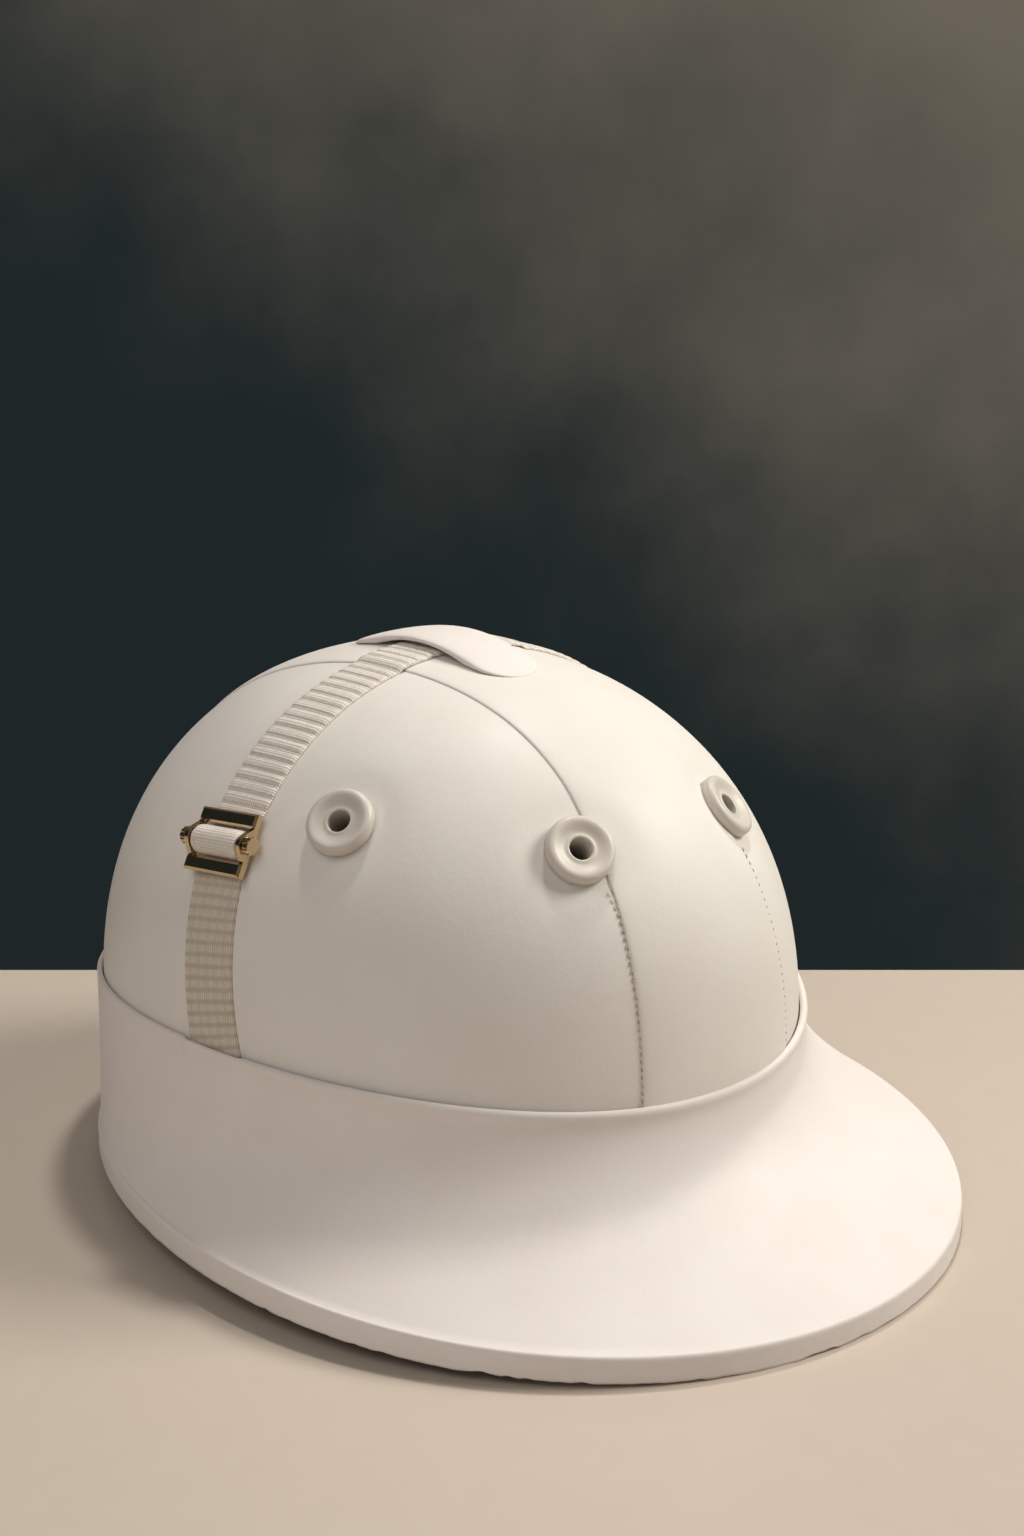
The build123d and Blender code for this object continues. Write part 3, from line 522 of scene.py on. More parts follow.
def natural_curve(places: list[float], values: list[float], at: np.ndarray) -> np.ndarray:
    """A natural cubic curve through values at places, held level past its ends.

    Args:
        places: Rising places.
        values: The value at each.
        at: Where to read the curve.

    Returns:
        The value at each place asked for.
    """
    x, y = np.array(places, float), np.array(values, float)
    n, h = len(x), np.diff(x)
    system, right = np.eye(n), np.zeros(n)
    for i in range(1, n - 1):
        system[i, i - 1 : i + 2] = h[i - 1], 2 * (h[i - 1] + h[i]), h[i]
        right[i] = 6 * ((y[i + 1] - y[i]) / h[i] - (y[i] - y[i - 1]) / h[i - 1])
    bend = np.linalg.solve(system, right)
    at = np.clip(at, x[0], x[-1])
    i = np.clip(np.searchsorted(x, at) - 1, 0, n - 2)
    a, b = x[i + 1] - at, at - x[i]
    return (
        (bend[i] * a**3 + bend[i + 1] * b**3) / (6 * h[i])
        + (y[i] / h[i] - bend[i] * h[i] / 6) * a
        + (y[i + 1] / h[i] - bend[i + 1] * h[i] / 6) * b
    )


def lengths(line: np.ndarray) -> np.ndarray:
    """How far along a line each of its points lies."""
    return np.concatenate([[0], np.cumsum(np.linalg.norm(np.diff(line, axis=0), axis=1))])


def along_line(at: np.ndarray, run: np.ndarray, line: np.ndarray) -> np.ndarray:
    """The points of a line at some lengths along it.

    Args:
        at: The lengths asked for.
        run: How far along each point of the line lies.
        line: The line's points.

    Returns:
        A point for each length.
    """
    return np.stack([np.interp(at, run, line[:, i]) for i in range(3)], -1)


def superellipse(count: int, power: float) -> tuple[np.ndarray, np.ndarray]:
    """Points round a squared-off circle.

    Args:
        count: How many points to give.
        power: 1 for a circle, and less the squarer the corners are.

    Returns:
        The points' two coordinates, from -1 to 1.
    """
    around = np.linspace(0, 2 * math.pi, count, endpoint=False)
    c, s = np.cos(around), np.sin(around)
    return np.sign(c) * np.abs(c) ** power, np.sign(s) * np.abs(s) ** power


def smooth_step(value: float) -> float:
    """Eases a value from 0 to 1, held level past both."""
    value = min(max(value, 0.0), 1.0)
    return value * value * (3 - 2 * value)


def smooth_noise(points: np.ndarray, size: float, seed: int) -> np.ndarray:
    """A gentle seeded unevenness, from -1 to 1.

    Args:
        points: Where to read it, in millimetres.
        size: How far apart its swells lie, in millimetres.
        seed: Which unevenness to give.

    Returns:
        One value for each point.
    """
    draw = np.random.default_rng(seed)
    total = np.zeros(points.shape[:-1])
    for _ in range(6):
        way = draw.normal(size=3)
        way *= 2 * math.pi / (size * np.linalg.norm(way) * draw.uniform(0.7, 1.4))
        total += np.sin(points @ way + draw.uniform(0, 2 * math.pi))
    return total / 6


@dataclass(frozen=True)
class CrownShape:
    """The dome's leather surface and the lines that run over it."""

    half_width: float = 108.6
    front: float = 128.8
    rear: float = 120.2
    widest_z: float = 53.0
    rise: float = 117.2
    power: float = 2.22
    joint_front: float = 55.8
    joint_side: float = 66.1
    joint_rear: float = 57.1
    seam_y: tuple[float, ...] = (-128.8, -80.0, -38.0, 0.0, 34.0, 120.2)
    seam_x: tuple[float, ...] = (34.5, 25.0, 24.0, 26.7, 31.0, 37.0)

    def along(self, y: np.ndarray) -> np.ndarray:
        """The plan's half length on the side of each y."""
        return np.where(np.asarray(y) < 0, self.front, self.rear)

    def centre(self) -> np.ndarray:
        """The middle of the dome's widest plan."""
        return np.array([0, 0, self.widest_z])

    def place(self, way: np.ndarray) -> np.ndarray:
        """Where rays from the dome's centre meet the leather.

        Args:
            way: Directions, of any length.

        Returns:
            Points on the leather.
        """
        way = np.asarray(way, float)
        plan = np.hypot(way[..., 0] / self.half_width, way[..., 1] / self.along(way[..., 1]))
        up = np.maximum(way[..., 2] / self.rise, 0)
        size = (plan**self.power + up**self.power) ** (1 / self.power)
        return way / size[..., None] + self.centre()

    def outward(self, point: np.ndarray) -> np.ndarray:
        """The leather's outward direction at points on it."""
        point = np.asarray(point, float)
        across, along = self.half_width, self.along(point[..., 1])
        plan = np.hypot(point[..., 0] / across, point[..., 1] / along)
        slope = np.maximum(plan, 1e-6) ** (self.power - 2)
        up = np.maximum((point[..., 2] - self.widest_z) / self.rise, 0)
        x, y = point[..., 0] / across**2 * slope, point[..., 1] / along**2 * slope
        way = np.stack([x, y, up ** (self.power - 1) / self.rise], axis=-1)
        return way / np.linalg.norm(way, axis=-1, keepdims=True)

    def plan_share(self, z: np.ndarray) -> np.ndarray:
        """What share of the widest plan the dome has at a height."""
        up = np.maximum((z - self.widest_z) / self.rise, 0)
        return np.maximum(1 - up**self.power, 0) ** (1 / self.power)

    def over(self, x: np.ndarray, y: np.ndarray) -> np.ndarray:
        """The points of the leather over places in plan."""
        plan = np.hypot(x / self.half_width, y / self.along(y))
        up = np.maximum(1 - plan**self.power, 0) ** (1 / self.power)
        return np.stack([x, y, self.widest_z + self.rise * up], axis=-1)

    def beside(self, y: np.ndarray, z: np.ndarray, side: int) -> np.ndarray:
        """The points of the leather on one side, at a y and a height."""
        across = np.maximum(self.plan_share(z) ** 2 - (y / self.along(y)) ** 2, 0)
        x = self.half_width * np.sqrt(across)
        return np.stack([side * x, y, z], axis=-1)

    def joint(self, y: np.ndarray) -> np.ndarray:
        """The height of the line where the crown meets the brim's lip."""
        end = np.where(np.asarray(y) < 0, self.joint_front, self.joint_rear)
        return self.joint_side - (self.joint_side - end) * (y / self.along(y)) ** 2

    def around(self, turn: np.ndarray, z: np.ndarray) -> np.ndarray:
        """The points of the leather at angles of the plan's ellipse, from the front, and heights."""
        plan, y = self.plan_share(z), -np.cos(turn)
        x = self.half_width * plan * np.sin(turn)
        return np.stack([x, self.along(y) * plan * y, z], axis=-1)

    def seam(self, lean: np.ndarray, shift: float = 0.0) -> np.ndarray:
        """The left seam, moved outward in plan by shift, at angles about the helmet's cross axis.

        Args:
            lean: Angles from the front, level, up and over to the rear.
            shift: How far the line lies outside the seam.

        Returns:
            Points on the leather.
        """
        low, high = np.full(lean.shape, 0.2), np.full(lean.shape, 1.4)
        forward, up = np.cos(lean), np.maximum(np.sin(lean), 0)
        reach = np.where(forward > 0, self.front, self.rear)
        for _ in range(45):
            middle = (low + high) / 2
            y = -reach * middle * forward
            x = natural_curve(list(self.seam_y), list(self.seam_x), y) + shift
            plan = np.hypot(x / self.half_width, middle * forward)
            past = plan**self.power + (middle * up) ** self.power > 1
            high, low = np.where(past, middle, high), np.where(past, low, middle)
        y = -reach * low * forward
        x = natural_curve(list(self.seam_y), list(self.seam_x), y) + shift
        z = self.widest_z + self.rise * low * np.sin(lean)
        return np.stack([x, y, z], axis=-1)


CROWN = CrownShape()
FLIP = np.array([-1.0, 1.0, 1.0])


@dataclass(frozen=True)
class EyeletPlaces:
    """Where the six vents are."""

    spots: tuple[tuple[float, float], ...] = (
        (-33.0, -96.5), (33.0, -96.5), (-76.2, -40.6), (81.5, -28.0), (-28.0, 97.0), (28.0, 97.0),
    )

    def middles(self) -> np.ndarray:
        """The points of the leather under the middle of each eyelet."""
        flat = np.array(self.spots)
        return CROWN.over(flat[:, 0], flat[:, 1])

    def frames(self) -> list[tuple[np.ndarray, np.ndarray]]:
        """Each eyelet's middle and its three directions, the last straight out."""
        result = []
        for point in self.middles():
            out = CROWN.outward(point)
            side = np.cross([0, 0, 1], out)
            side /= np.linalg.norm(side)
            result.append((point, np.stack([side, np.cross(out, side), out])))
        return result


VENTS = EyeletPlaces()


def dress(
    piece: Object, replaced: tuple[str, ...] = (), body: str = HELMET
) -> Object:
    """Puts a piece on its body.

    Args:
        piece: The new piece.
        replaced: The CAD nodes that it stands for.
        body: The body that it rides on.

    Returns:
        The same piece.
    """
    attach(piece, body)
    if replaced:
        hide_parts(*replaced)
    LOG.info("%s: %d points", piece.name, len(piece.data.vertices))
    return piece


@dataclass
class CrownCovers:
    """The three leather panels: a centre band lapped over two side panels, drawn in at the vents."""

    finishes: Materials
    leather: float = 1.3
    band_raise: float = 0.8
    lap: float = 4.0
    tuck: float = 3.6
    dimple_depth: float = 1.0
    dimple_reach: float = 7.5
    flange_radius: float = 10.6
    hole: float = 6.0
    uneven: float = 0.06
    uneven_size: float = 34.0
    rows: int = 330
    band_columns: int = 26
    side_columns: int = 130
    # The folded edge: how far inside the edge each line lies, and how high above the side panel
    fold: tuple[tuple[float, float], ...] = (
        (0.2, -0.45), (0.0, -0.12), (-0.02, 0.16), (-0.12, 0.36), (-0.34, 0.5), (-0.75, 0.6),
        (-1.5, 0.68), (-2.6, 0.74), (-4.2, 0.78), (-6.5, 0.8), (-9.0, 0.8),
    )

    def relief(self, point: np.ndarray) -> np.ndarray:
        """How far the leather stands above the plain dome: drawn in at the vents, hardly uneven elsewhere."""
        low = self.uneven * smooth_noise(point, self.uneven_size, 3)
        for middle in VENTS.middles():
            away = np.linalg.norm(point - middle, axis=-1)
            past = np.maximum(away - self.flange_radius, 0)
            low = low - self.dimple_depth * np.exp(-((past / self.dimple_reach) ** 2))
        return low

    def kept(self, point: np.ndarray) -> np.ndarray:
        """Which points of the leather lie outside the vent holes."""
        away = [np.linalg.norm(point - middle, axis=-1) for middle in VENTS.middles()]
        return np.min(away, axis=0) > self.hole

    def panel(
        self, name: str, point: np.ndarray, height: np.ndarray, nodes: tuple[str, ...]
    ) -> Object:
        """Closes one panel from its grid.

        Args:
            name: The piece's name.
            point: The grid of points on the plain dome.
            height: How far the leather's face lies above each.
            nodes: The CAD nodes that the panel stands for.

        Returns:
            The panel.
        """
        out = CROWN.outward(point)
        top = point + out * (height + self.relief(point))[..., None]
        bottom = top - out * self.leather
        points, faces = thick_sheet(top, bottom, self.kept(point))
        panel = mesh_object(name, points, faces, self.finishes["crown_leather"])
        return dress(panel, nodes)

    def lean(self) -> np.ndarray:
        """The rows of both kinds of panel, closer together near the lip."""
        return np.linspace(-0.012, math.pi + 0.006, self.rows)

    def build_band(self) -> Object:
        """Makes the centre band, with its two folded edges."""
        lean = self.lean()
        edge = [CROWN.seam(lean, offset) for offset, _ in self.fold]
        heights = [height for _, height in self.fold]
        inner = CROWN.seam(lean, self.fold[-1][0] - 1.5)
        middle = np.linspace(0, 1, self.band_columns)[:, None, None]
        across = inner * (1 - middle) + inner * FLIP * middle
        across = CROWN.place(across - CROWN.centre())
        columns = [*edge, *across, *[e * FLIP for e in reversed(edge)]]
        level = [*heights, *([self.band_raise] * len(across)), *reversed(heights)]
        point = np.stack(columns, axis=1)
        height = np.broadcast_to(np.array(level), point.shape[:2])
        return self.panel("crown_band", point[:, ::-1], height[:, ::-1], ("cover_band",))

    def build_side(self, side: int, name: str, node: str) -> Object:
        """Makes a side panel, from under the band down to behind the lip.

        Args:
            side: 1 for the wearer's left, -1 for the right.
            name: The piece's name.
            node: The CAD node that it stands for.

        Returns:
            The panel.
        """
        lean = self.lean()
        top = CROWN.seam(lean, -self.lap)
        start = math.atan2(top[0, 0] / CROWN.half_width, -top[0, 1] / CROWN.front)
        end = math.atan2(top[-1, 0] / CROWN.half_width, -top[-1, 1] / CROWN.rear)
        turn = np.linspace(start, end, self.rows)
        base = CROWN.around(turn, np.zeros_like(turn))
        base = CROWN.around(turn, CROWN.joint(base[:, 1]) - self.tuck)
        down = np.linspace(0, 1, self.side_columns)[None, :, None]
        centre = CROWN.centre()
        grid = CROWN.place((top - centre)[:, None] * (1 - down) + (base - centre)[:, None] * down)
        grid[:, -1, 2] = base[:, 2]
        if side > 0:
            grid = grid[::-1]
        height = np.zeros(grid.shape[:2])
        return self.panel(name, grid * np.array([side, 1, 1]), height, (node,))

    def build(self) -> None:
        """Makes the three panels."""
        self.build_band()
        self.build_side(-1, "crown_side_right", "cover_panel_right")
        self.build_side(1, "crown_side_left", "cover_panel_left")


@dataclass
class SeamStitches:
    """The thread that shows as small bites along the lower seams."""

    finishes: Materials
    pitch: float = 2.4
    length: float = 1.5
    radius: float = 0.28
    off: float = 0.35
    slant: float = 0.35
    rise: float = 0.32
    sunk: float = 0.05
    clear_of_vent: float = 11.2
    first: float = 2.0
    # The stretch of each seam that shows stitches, as angles from level
    lean: tuple[float, float] = (0.02, 0.62)

    def build(self) -> Object:
        """Makes every stitch, a short slanting capsule in the seam."""
        lean = np.linspace(*self.lean, 1200)
        points: list[np.ndarray] = []
        faces: list[tuple[int, ...]] = []
        for side in (1, -1):
            for ends in (lean, math.pi - lean):
                line = CROWN.seam(ends, self.off) * np.array([side, 1, 1])
                run = lengths(line)
                for start in np.arange(self.first, run[-1] - self.pitch, self.pitch):
                    a, b = along_line(np.array([start, start + self.length]), run, line)
                    if min(np.linalg.norm(a - m) for m in VENTS.middles()) >= self.clear_of_vent:
                        self.capsule(a, b, side, points, faces)
        stitches = mesh_object("seam_stitches", np.array(points), faces, self.finishes["thread"])
        return dress(stitches)

    def capsule(self, a: np.ndarray, b: np.ndarray, side: int, points: list, faces: list) -> None:
        """Adds one stitch between two points of the seam.

        Args:
            a: Its first end.
            b: Its second end.
            side: Which seam it is on.
            points: The points so far, added to.
            faces: The faces so far, added to.
        """
        out = CROWN.outward((a + b) / 2)
        way = (b - a) / np.linalg.norm(b - a)
        across = np.cross(way, out) * side
        first, rings, spokes = len(points), 5, 6
        for ring in range(rings):
            share = ring / (rings - 1)
            swell = self.radius * math.sin(math.pi * (0.12 + 0.76 * share))
            middle = a + (b - a) * share + across * (self.slant * (share - 0.5))
            middle = middle + out * (self.rise * math.sin(math.pi * share) - self.sunk)
            for spoke in range(spokes):
                turn = 2 * math.pi * spoke / spokes
                points.append(middle + swell * (out * math.cos(turn) + across * math.sin(turn)))
        faces += [tuple(first + i for i in f) for f in quads(rings, spokes, ring_columns=True)]
        faces.append(tuple(first + i for i in reversed(range(spokes))))
        faces.append(tuple(first + (rings - 1) * spokes + i for i in range(spokes)))


@dataclass
class Eyelets:
    """Six flanged vents, turned smooth: a full rounded rim, a dished face and a bright hole edge."""

    finishes: Materials
    spokes: int = 96
    profile: tuple[tuple[float, float], ...] = (
        (3.5, -26.0), (3.5, 1.0), (3.52, 1.35), (3.62, 1.6), (3.8, 1.74), (4.05, 1.78),
        (4.35, 1.72), (4.7, 1.62), (5.1, 1.6), (5.6, 1.7), (6.2, 1.9), (7.0, 2.25), (7.7, 2.55),
        (8.3, 2.75), (8.8, 2.8), (9.3, 2.74), (9.75, 2.55), (10.15, 2.2), (10.45, 1.7),
        (10.58, 1.2), (10.6, 0.6), (10.6, -0.8), (5.0, -0.8), (5.0, -26.0),
    )

    def build(self) -> Object:
        """Makes the eyelets as one object of six turned solids."""
        points: list[np.ndarray] = []
        faces: list[tuple[int, ...]] = []
        rounds = np.array(self.profile)
        turn = np.linspace(0, 2 * math.pi, self.spokes, endpoint=False)
        for middle, ways in VENTS.frames():
            first = len(points)
            for radius, height in rounds:
                x, y = radius * np.cos(turn), radius * np.sin(turn)
                ring = np.stack([x, y, np.full_like(turn, height)], -1)
                points.extend(ring @ ways + middle)
            made = quads(len(rounds), self.spokes, ring_rows=True, ring_columns=True)
            faces += [tuple(first + i for i in reversed(f)) for f in made]
        eyelets = mesh_object("vent_eyelet_set", np.array(points), faces, self.finishes["eyelet_enamel"])
        return dress(eyelets, ("vent_eyelets",))


@dataclass
class Brim:
    """The brim and skirt in one wet-formed skin, rolled over along its lip, and the lining below."""

    finishes: Materials
    reach_front: float = 60.0
    reach_rear: float = 1.8
    side_lift: float = 7.8
    proud: float = 2.0
    rim_height: float = 8.0
    rim_flat: float = 0.4
    rim_round: float = 1.8
    crease_front: float = 1.3
    crease_rear: float = 0.6
    knee_share: float = 0.47
    knee_flare: float = 1.0
    pull_share: float = 0.72
    leather: float = 1.5
    lip_drop: float = 3.0
    stack: float = 6.45
    land: float = 5.2
    lining: float = 0.9
    spokes: int = 1080
    # The lip: a soft bead in front, a plain thin edge at the sides and behind
    bead_front: float = 1.5
    bead_side: float = 0.7
    bulge: float = 0.9
    bulge_reach: float = 2.5
    bead_turn: float = math.radians(92)
    bead_fade: float = math.radians(30)
    gap: float = 0.42
    strap_gap: float = 1.55
    strap_swell: float = 0.45
    strap_reach: float = 5.0
    strap_fade: float = 2.5
    strap_y: float = -17.0
    strap_half: float = 10.6
    # The trimmed lower edge: small nicks in front, by how wide and how deep they are
    nicks: int = 34
    nick_turn: float = 1.1
    nick_wide: tuple[float, float] = (0.006, 0.014)
    nick_deep: tuple[float, float] = (0.2, 0.55)
    # The rows of the skin's section that lie on the brim's open slope
    slope_rows: tuple[int, int] = (24, 58)
    uneven: float = 0.12
    uneven_size: float = 60.0

    def crown_radius(self, turn: float) -> float:
        """The crown's plan radius at an angle from the front."""
        along = CROWN.front if math.cos(turn) > 0 else CROWN.rear
        return 1 / math.hypot(math.sin(turn) / CROWN.half_width, math.cos(turn) / along)

    def lip_height(self, turn: float) -> float:
        """The height of the lip's top at an angle from the front."""
        return float(CROWN.joint(np.array(-self.crown_radius(turn) * math.cos(turn))))

    def outline(self, turn: float, depth: float = 0.0, land: float = 0.0) -> np.ndarray:
        """The brim's section under its skin, as radius and height, from the lip down to the table.

        Args:
            turn: The angle from the front.
            depth: How far under the leather's face.
            land: How wide the rim's underside is, for the surfaces inside it.

        Returns:
            Points by radius and height.
        """
        forward = (1 + math.cos(turn)) / 2
        crown = self.crown_radius(turn)
        rim = crown + self.reach_rear + (self.reach_front - self.reach_rear) * forward**2
        foot = self.side_lift * math.sin(turn) ** 2 - self.rim_flat
        top = self.lip_height(turn) - self.lip_drop
        crease_r = rim - self.crease_rear - (self.crease_front - self.crease_rear) * forward
        crease_z = foot + self.rim_height
        wall = crown + self.proud
        knee_r = wall + self.knee_flare * forward
        knee_z = crease_z + self.knee_share * (top - crease_z)
        fall = math.atan2(knee_z - crease_z, crease_r - knee_r)
        start = (wall - depth, top)
        knee = (knee_r - depth, knee_z - depth * math.cos(fall) / (1 + math.sin(fall)))
        inset = depth * math.sin(fall) + land * math.cos(fall) if land else depth
        end = (crease_r - inset, crease_z - depth * math.cos(fall) + land * math.sin(fall))
        first = tuple(a + (b - a) * self.pull_share for a, b in zip(start, knee))
        second = tuple(a + (b - a) * self.pull_share for a, b in zip(end, knee))
        slope = bezier([start, first, second, end], 40)
        low = max(foot, 0.0) + 0.02
        if land:
            side = np.linspace(end[1], low, 5)[1:]
            return np.concatenate([slope, np.stack([np.full(4, end[0]), side], -1)])
        shoulder_z = crease_z - depth * math.cos(fall)
        side_r = rim - depth
        crease = bezier([end, (side_r, shoulder_z), (side_r, shoulder_z - self.rim_round)], 9)[1:]
        side = np.linspace(shoulder_z - self.rim_round, low, 9)[1:]
        return np.concatenate([slope, crease, np.stack([np.full(8, side_r), side], -1)])

    def skin_section(self, turn: float) -> tuple[np.ndarray, np.ndarray]:
        """The skin's face, from inside the gap over the lip and down, and the points behind it.

        Args:
            turn: The angle from the front.

        Returns:
            Two rows of radius and height, of one length.
        """
        aside = min(turn, 2 * math.pi - turn)
        front = smooth_step((self.bead_turn - aside) / self.bead_fade)
        crown, top = self.crown_radius(turn), self.lip_height(turn)
        lean = ((top - CROWN.widest_z) / CROWN.rise) ** CROWN.power
        face = crown * (1 - lean) ** (1 / CROWN.power)
        off = abs(-crown * math.cos(turn) - self.strap_y)
        strap = smooth_step((self.strap_half + self.strap_fade - off) / self.strap_fade)
        inside = face + self.gap + (self.strap_gap - self.gap) * strap
        bead = self.bead_side + (self.bead_front - self.bead_side) * front
        outer = self.outline(turn)
        straight = np.linspace(top - bead, top - self.lip_drop, 7)[:-1]
        outer = np.concatenate([np.stack([np.full(6, outer[0, 0]), straight], -1), outer])
        below = np.maximum(top - bead - outer[:, 1], 0)
        swell = self.bulge * front * np.exp(-((below / self.bulge_reach) ** 2))
        outer[:, 0] += swell + self.strap_swell * strap * np.exp(-((below / self.strap_reach) ** 2))
        edge = outer[0, 0]
        around = np.linspace(math.pi, 0, 13)[:-1]
        middle, half = (inside + edge) / 2, (edge - inside) / 2
        over = np.stack([middle + half * np.cos(around), top - bead + bead * np.sin(around)], -1)
        low = top - self.lip_drop
        deep = np.array([[inside, low], [inside, (low + top - bead) / 2]])
        face_row = np.concatenate([deep, over, outer])
        back = self.outline(turn, self.leather)
        count = len(face_row) - len(back)
        share = np.linspace(0, 1, count + 1)[:-1, None]
        start = np.array([inside + 0.02, low])
        back_row = np.concatenate([start * (1 - share) + back[0] * share, back])
        return face_row, back_row

    def sweep(self, sections: Sequence[np.ndarray]) -> np.ndarray:
        """Sets sections round the crown.

        Args:
            sections: One for each spoke, as radius and height.

        Returns:
            The grid of points.
        """
        turn = self.turns()[:, None]
        radius, height = np.moveaxis(np.stack(sections), -1, 0)
        return np.stack([radius * np.sin(turn), -radius * np.cos(turn), height], axis=-1)

    def turns(self) -> np.ndarray:
        """The spokes' angles."""
        return np.linspace(0, 2 * math.pi, self.spokes, endpoint=False)

    def trimmed(self, edge: np.ndarray) -> np.ndarray:
        """How far the knife and wear have raised each point of the trimmed lower edge.

        Args:
            edge: The edge's points.

        Returns:
            A height for each.
        """
        rough = 0.14 * smooth_noise(edge, 7.0, 5) + 0.12 * smooth_noise(edge, 2.6, 8)
        draw = np.random.default_rng(21)
        turn = self.turns()
        for middle in draw.uniform(-self.nick_turn, self.nick_turn, self.nicks):
            wide = draw.uniform(*self.nick_wide)
            away = np.angle(np.exp(1j * (turn - middle)))
            rough += draw.uniform(*self.nick_deep) * np.exp(-((away / wide) ** 2))
        return np.maximum(rough + 0.08, 0)

    def build_skin(self) -> Object:
        """Makes the outer leather, its trimmed lower edge a little rough."""
        sections = zip(*[self.skin_section(turn) for turn in self.turns()])
        outer, inner = (self.sweep(rows) for rows in sections)
        raised = self.trimmed(outer[:, -1])
        for grid in (outer, inner):
            grid[:, -1, 2] += raised
            grid[:, -2, 2] += raised * 0.5
        flare = 1 + 0.0012 * (0.6 + smooth_noise(outer[:, -1], 5.0, 9))
        outer[:, -1, :2] *= flare[:, None]
        rows = slice(*self.slope_rows)
        outer[:, rows, 2] += self.uneven * smooth_noise(outer[:, rows], self.uneven_size, 11)
        points, faces = thick_sheet(outer, inner, ring_rows=True)
        skin = mesh_object("brim_skin", points, faces, self.finishes["brim_leather"])
        return dress(skin, ("brim_cover", "lip_piping"))

    def build_lining(self) -> Object:
        """Makes the lining leather under the brim."""
        outer, inner = (
            self.sweep([self.outline(t, self.stack + more, self.land + more) for t in self.turns()])
            for more in (0.0, self.lining)
        )
        points, faces = thick_sheet(outer, inner, ring_rows=True)
        lining = mesh_object("brim_underside", points, faces, self.finishes["lining_leather"])
        return dress(lining, ("brim_lining",))

    def build(self) -> None:
        """Makes the skin and the lining."""
        self.build_skin()
        self.build_lining()


@dataclass
class TopLoop:
    """The leather loop over the strap: arched, thinned to soft tips, with a tunnel under it."""

    finishes: Materials
    length: float = 75.0
    width: float = 24.0
    rise: float = 5.0
    thick: float = 2.6
    tunnel: float = 40.0
    end_thick: float = 0.9
    centre_y: float = -4.0
    band: float = 0.8
    arch_power: float = 1.15
    squareness: float = 0.625
    foot_sunk: float = 0.25
    sag_share: float = 0.6

    def build(self) -> Object:
        """Makes the loop from rows across it."""
        rows, around = 90, 50
        share = np.linspace(-1, 1, rows)
        y = self.centre_y + share * self.length / 2
        half = self.width / 2
        tip = np.maximum(np.abs(share) * self.length / 2 - (self.length / 2 - half), 0)
        reach = np.sqrt(np.maximum(half**2 - tip**2, 0.4))
        base = CROWN.over(np.zeros(rows), y)[:, 2] + self.band
        arch = (1 - share**2) ** self.arch_power
        high = self.end_thick * (0.25 + 0.75 * np.sqrt(1 - share**2))
        high = high + (self.rise - self.end_thick) * arch
        within = np.clip(1 - (np.abs(share) * self.length / self.tunnel) ** 2, 0, 1)
        low = (self.rise - self.thick) * within - self.foot_sunk * (within <= 0)
        across, up = superellipse(around, self.squareness)
        grid = np.zeros((rows, around, 3))
        for i in range(rows):
            x = reach[i] * across
            sag = base[i] - CROWN.over(x, np.full_like(x, y[i]))[:, 2] - self.band
            middle, deep = (high[i] + low[i]) / 2, (high[i] - low[i]) / 2
            drop = sag * (1 - self.sag_share * within[i])
            z = base[i] + middle + deep * up - drop
            grid[i] = np.stack([x, np.full_like(x, y[i]), z], axis=-1)
        faces = [tuple(reversed(f)) for f in quads(rows, around, ring_columns=True)]
        faces += end_caps(rows, around)
        loop = mesh_object("leather_loop", grid, faces, self.finishes["brim_leather"])
        return dress(loop, ("top_loop",))


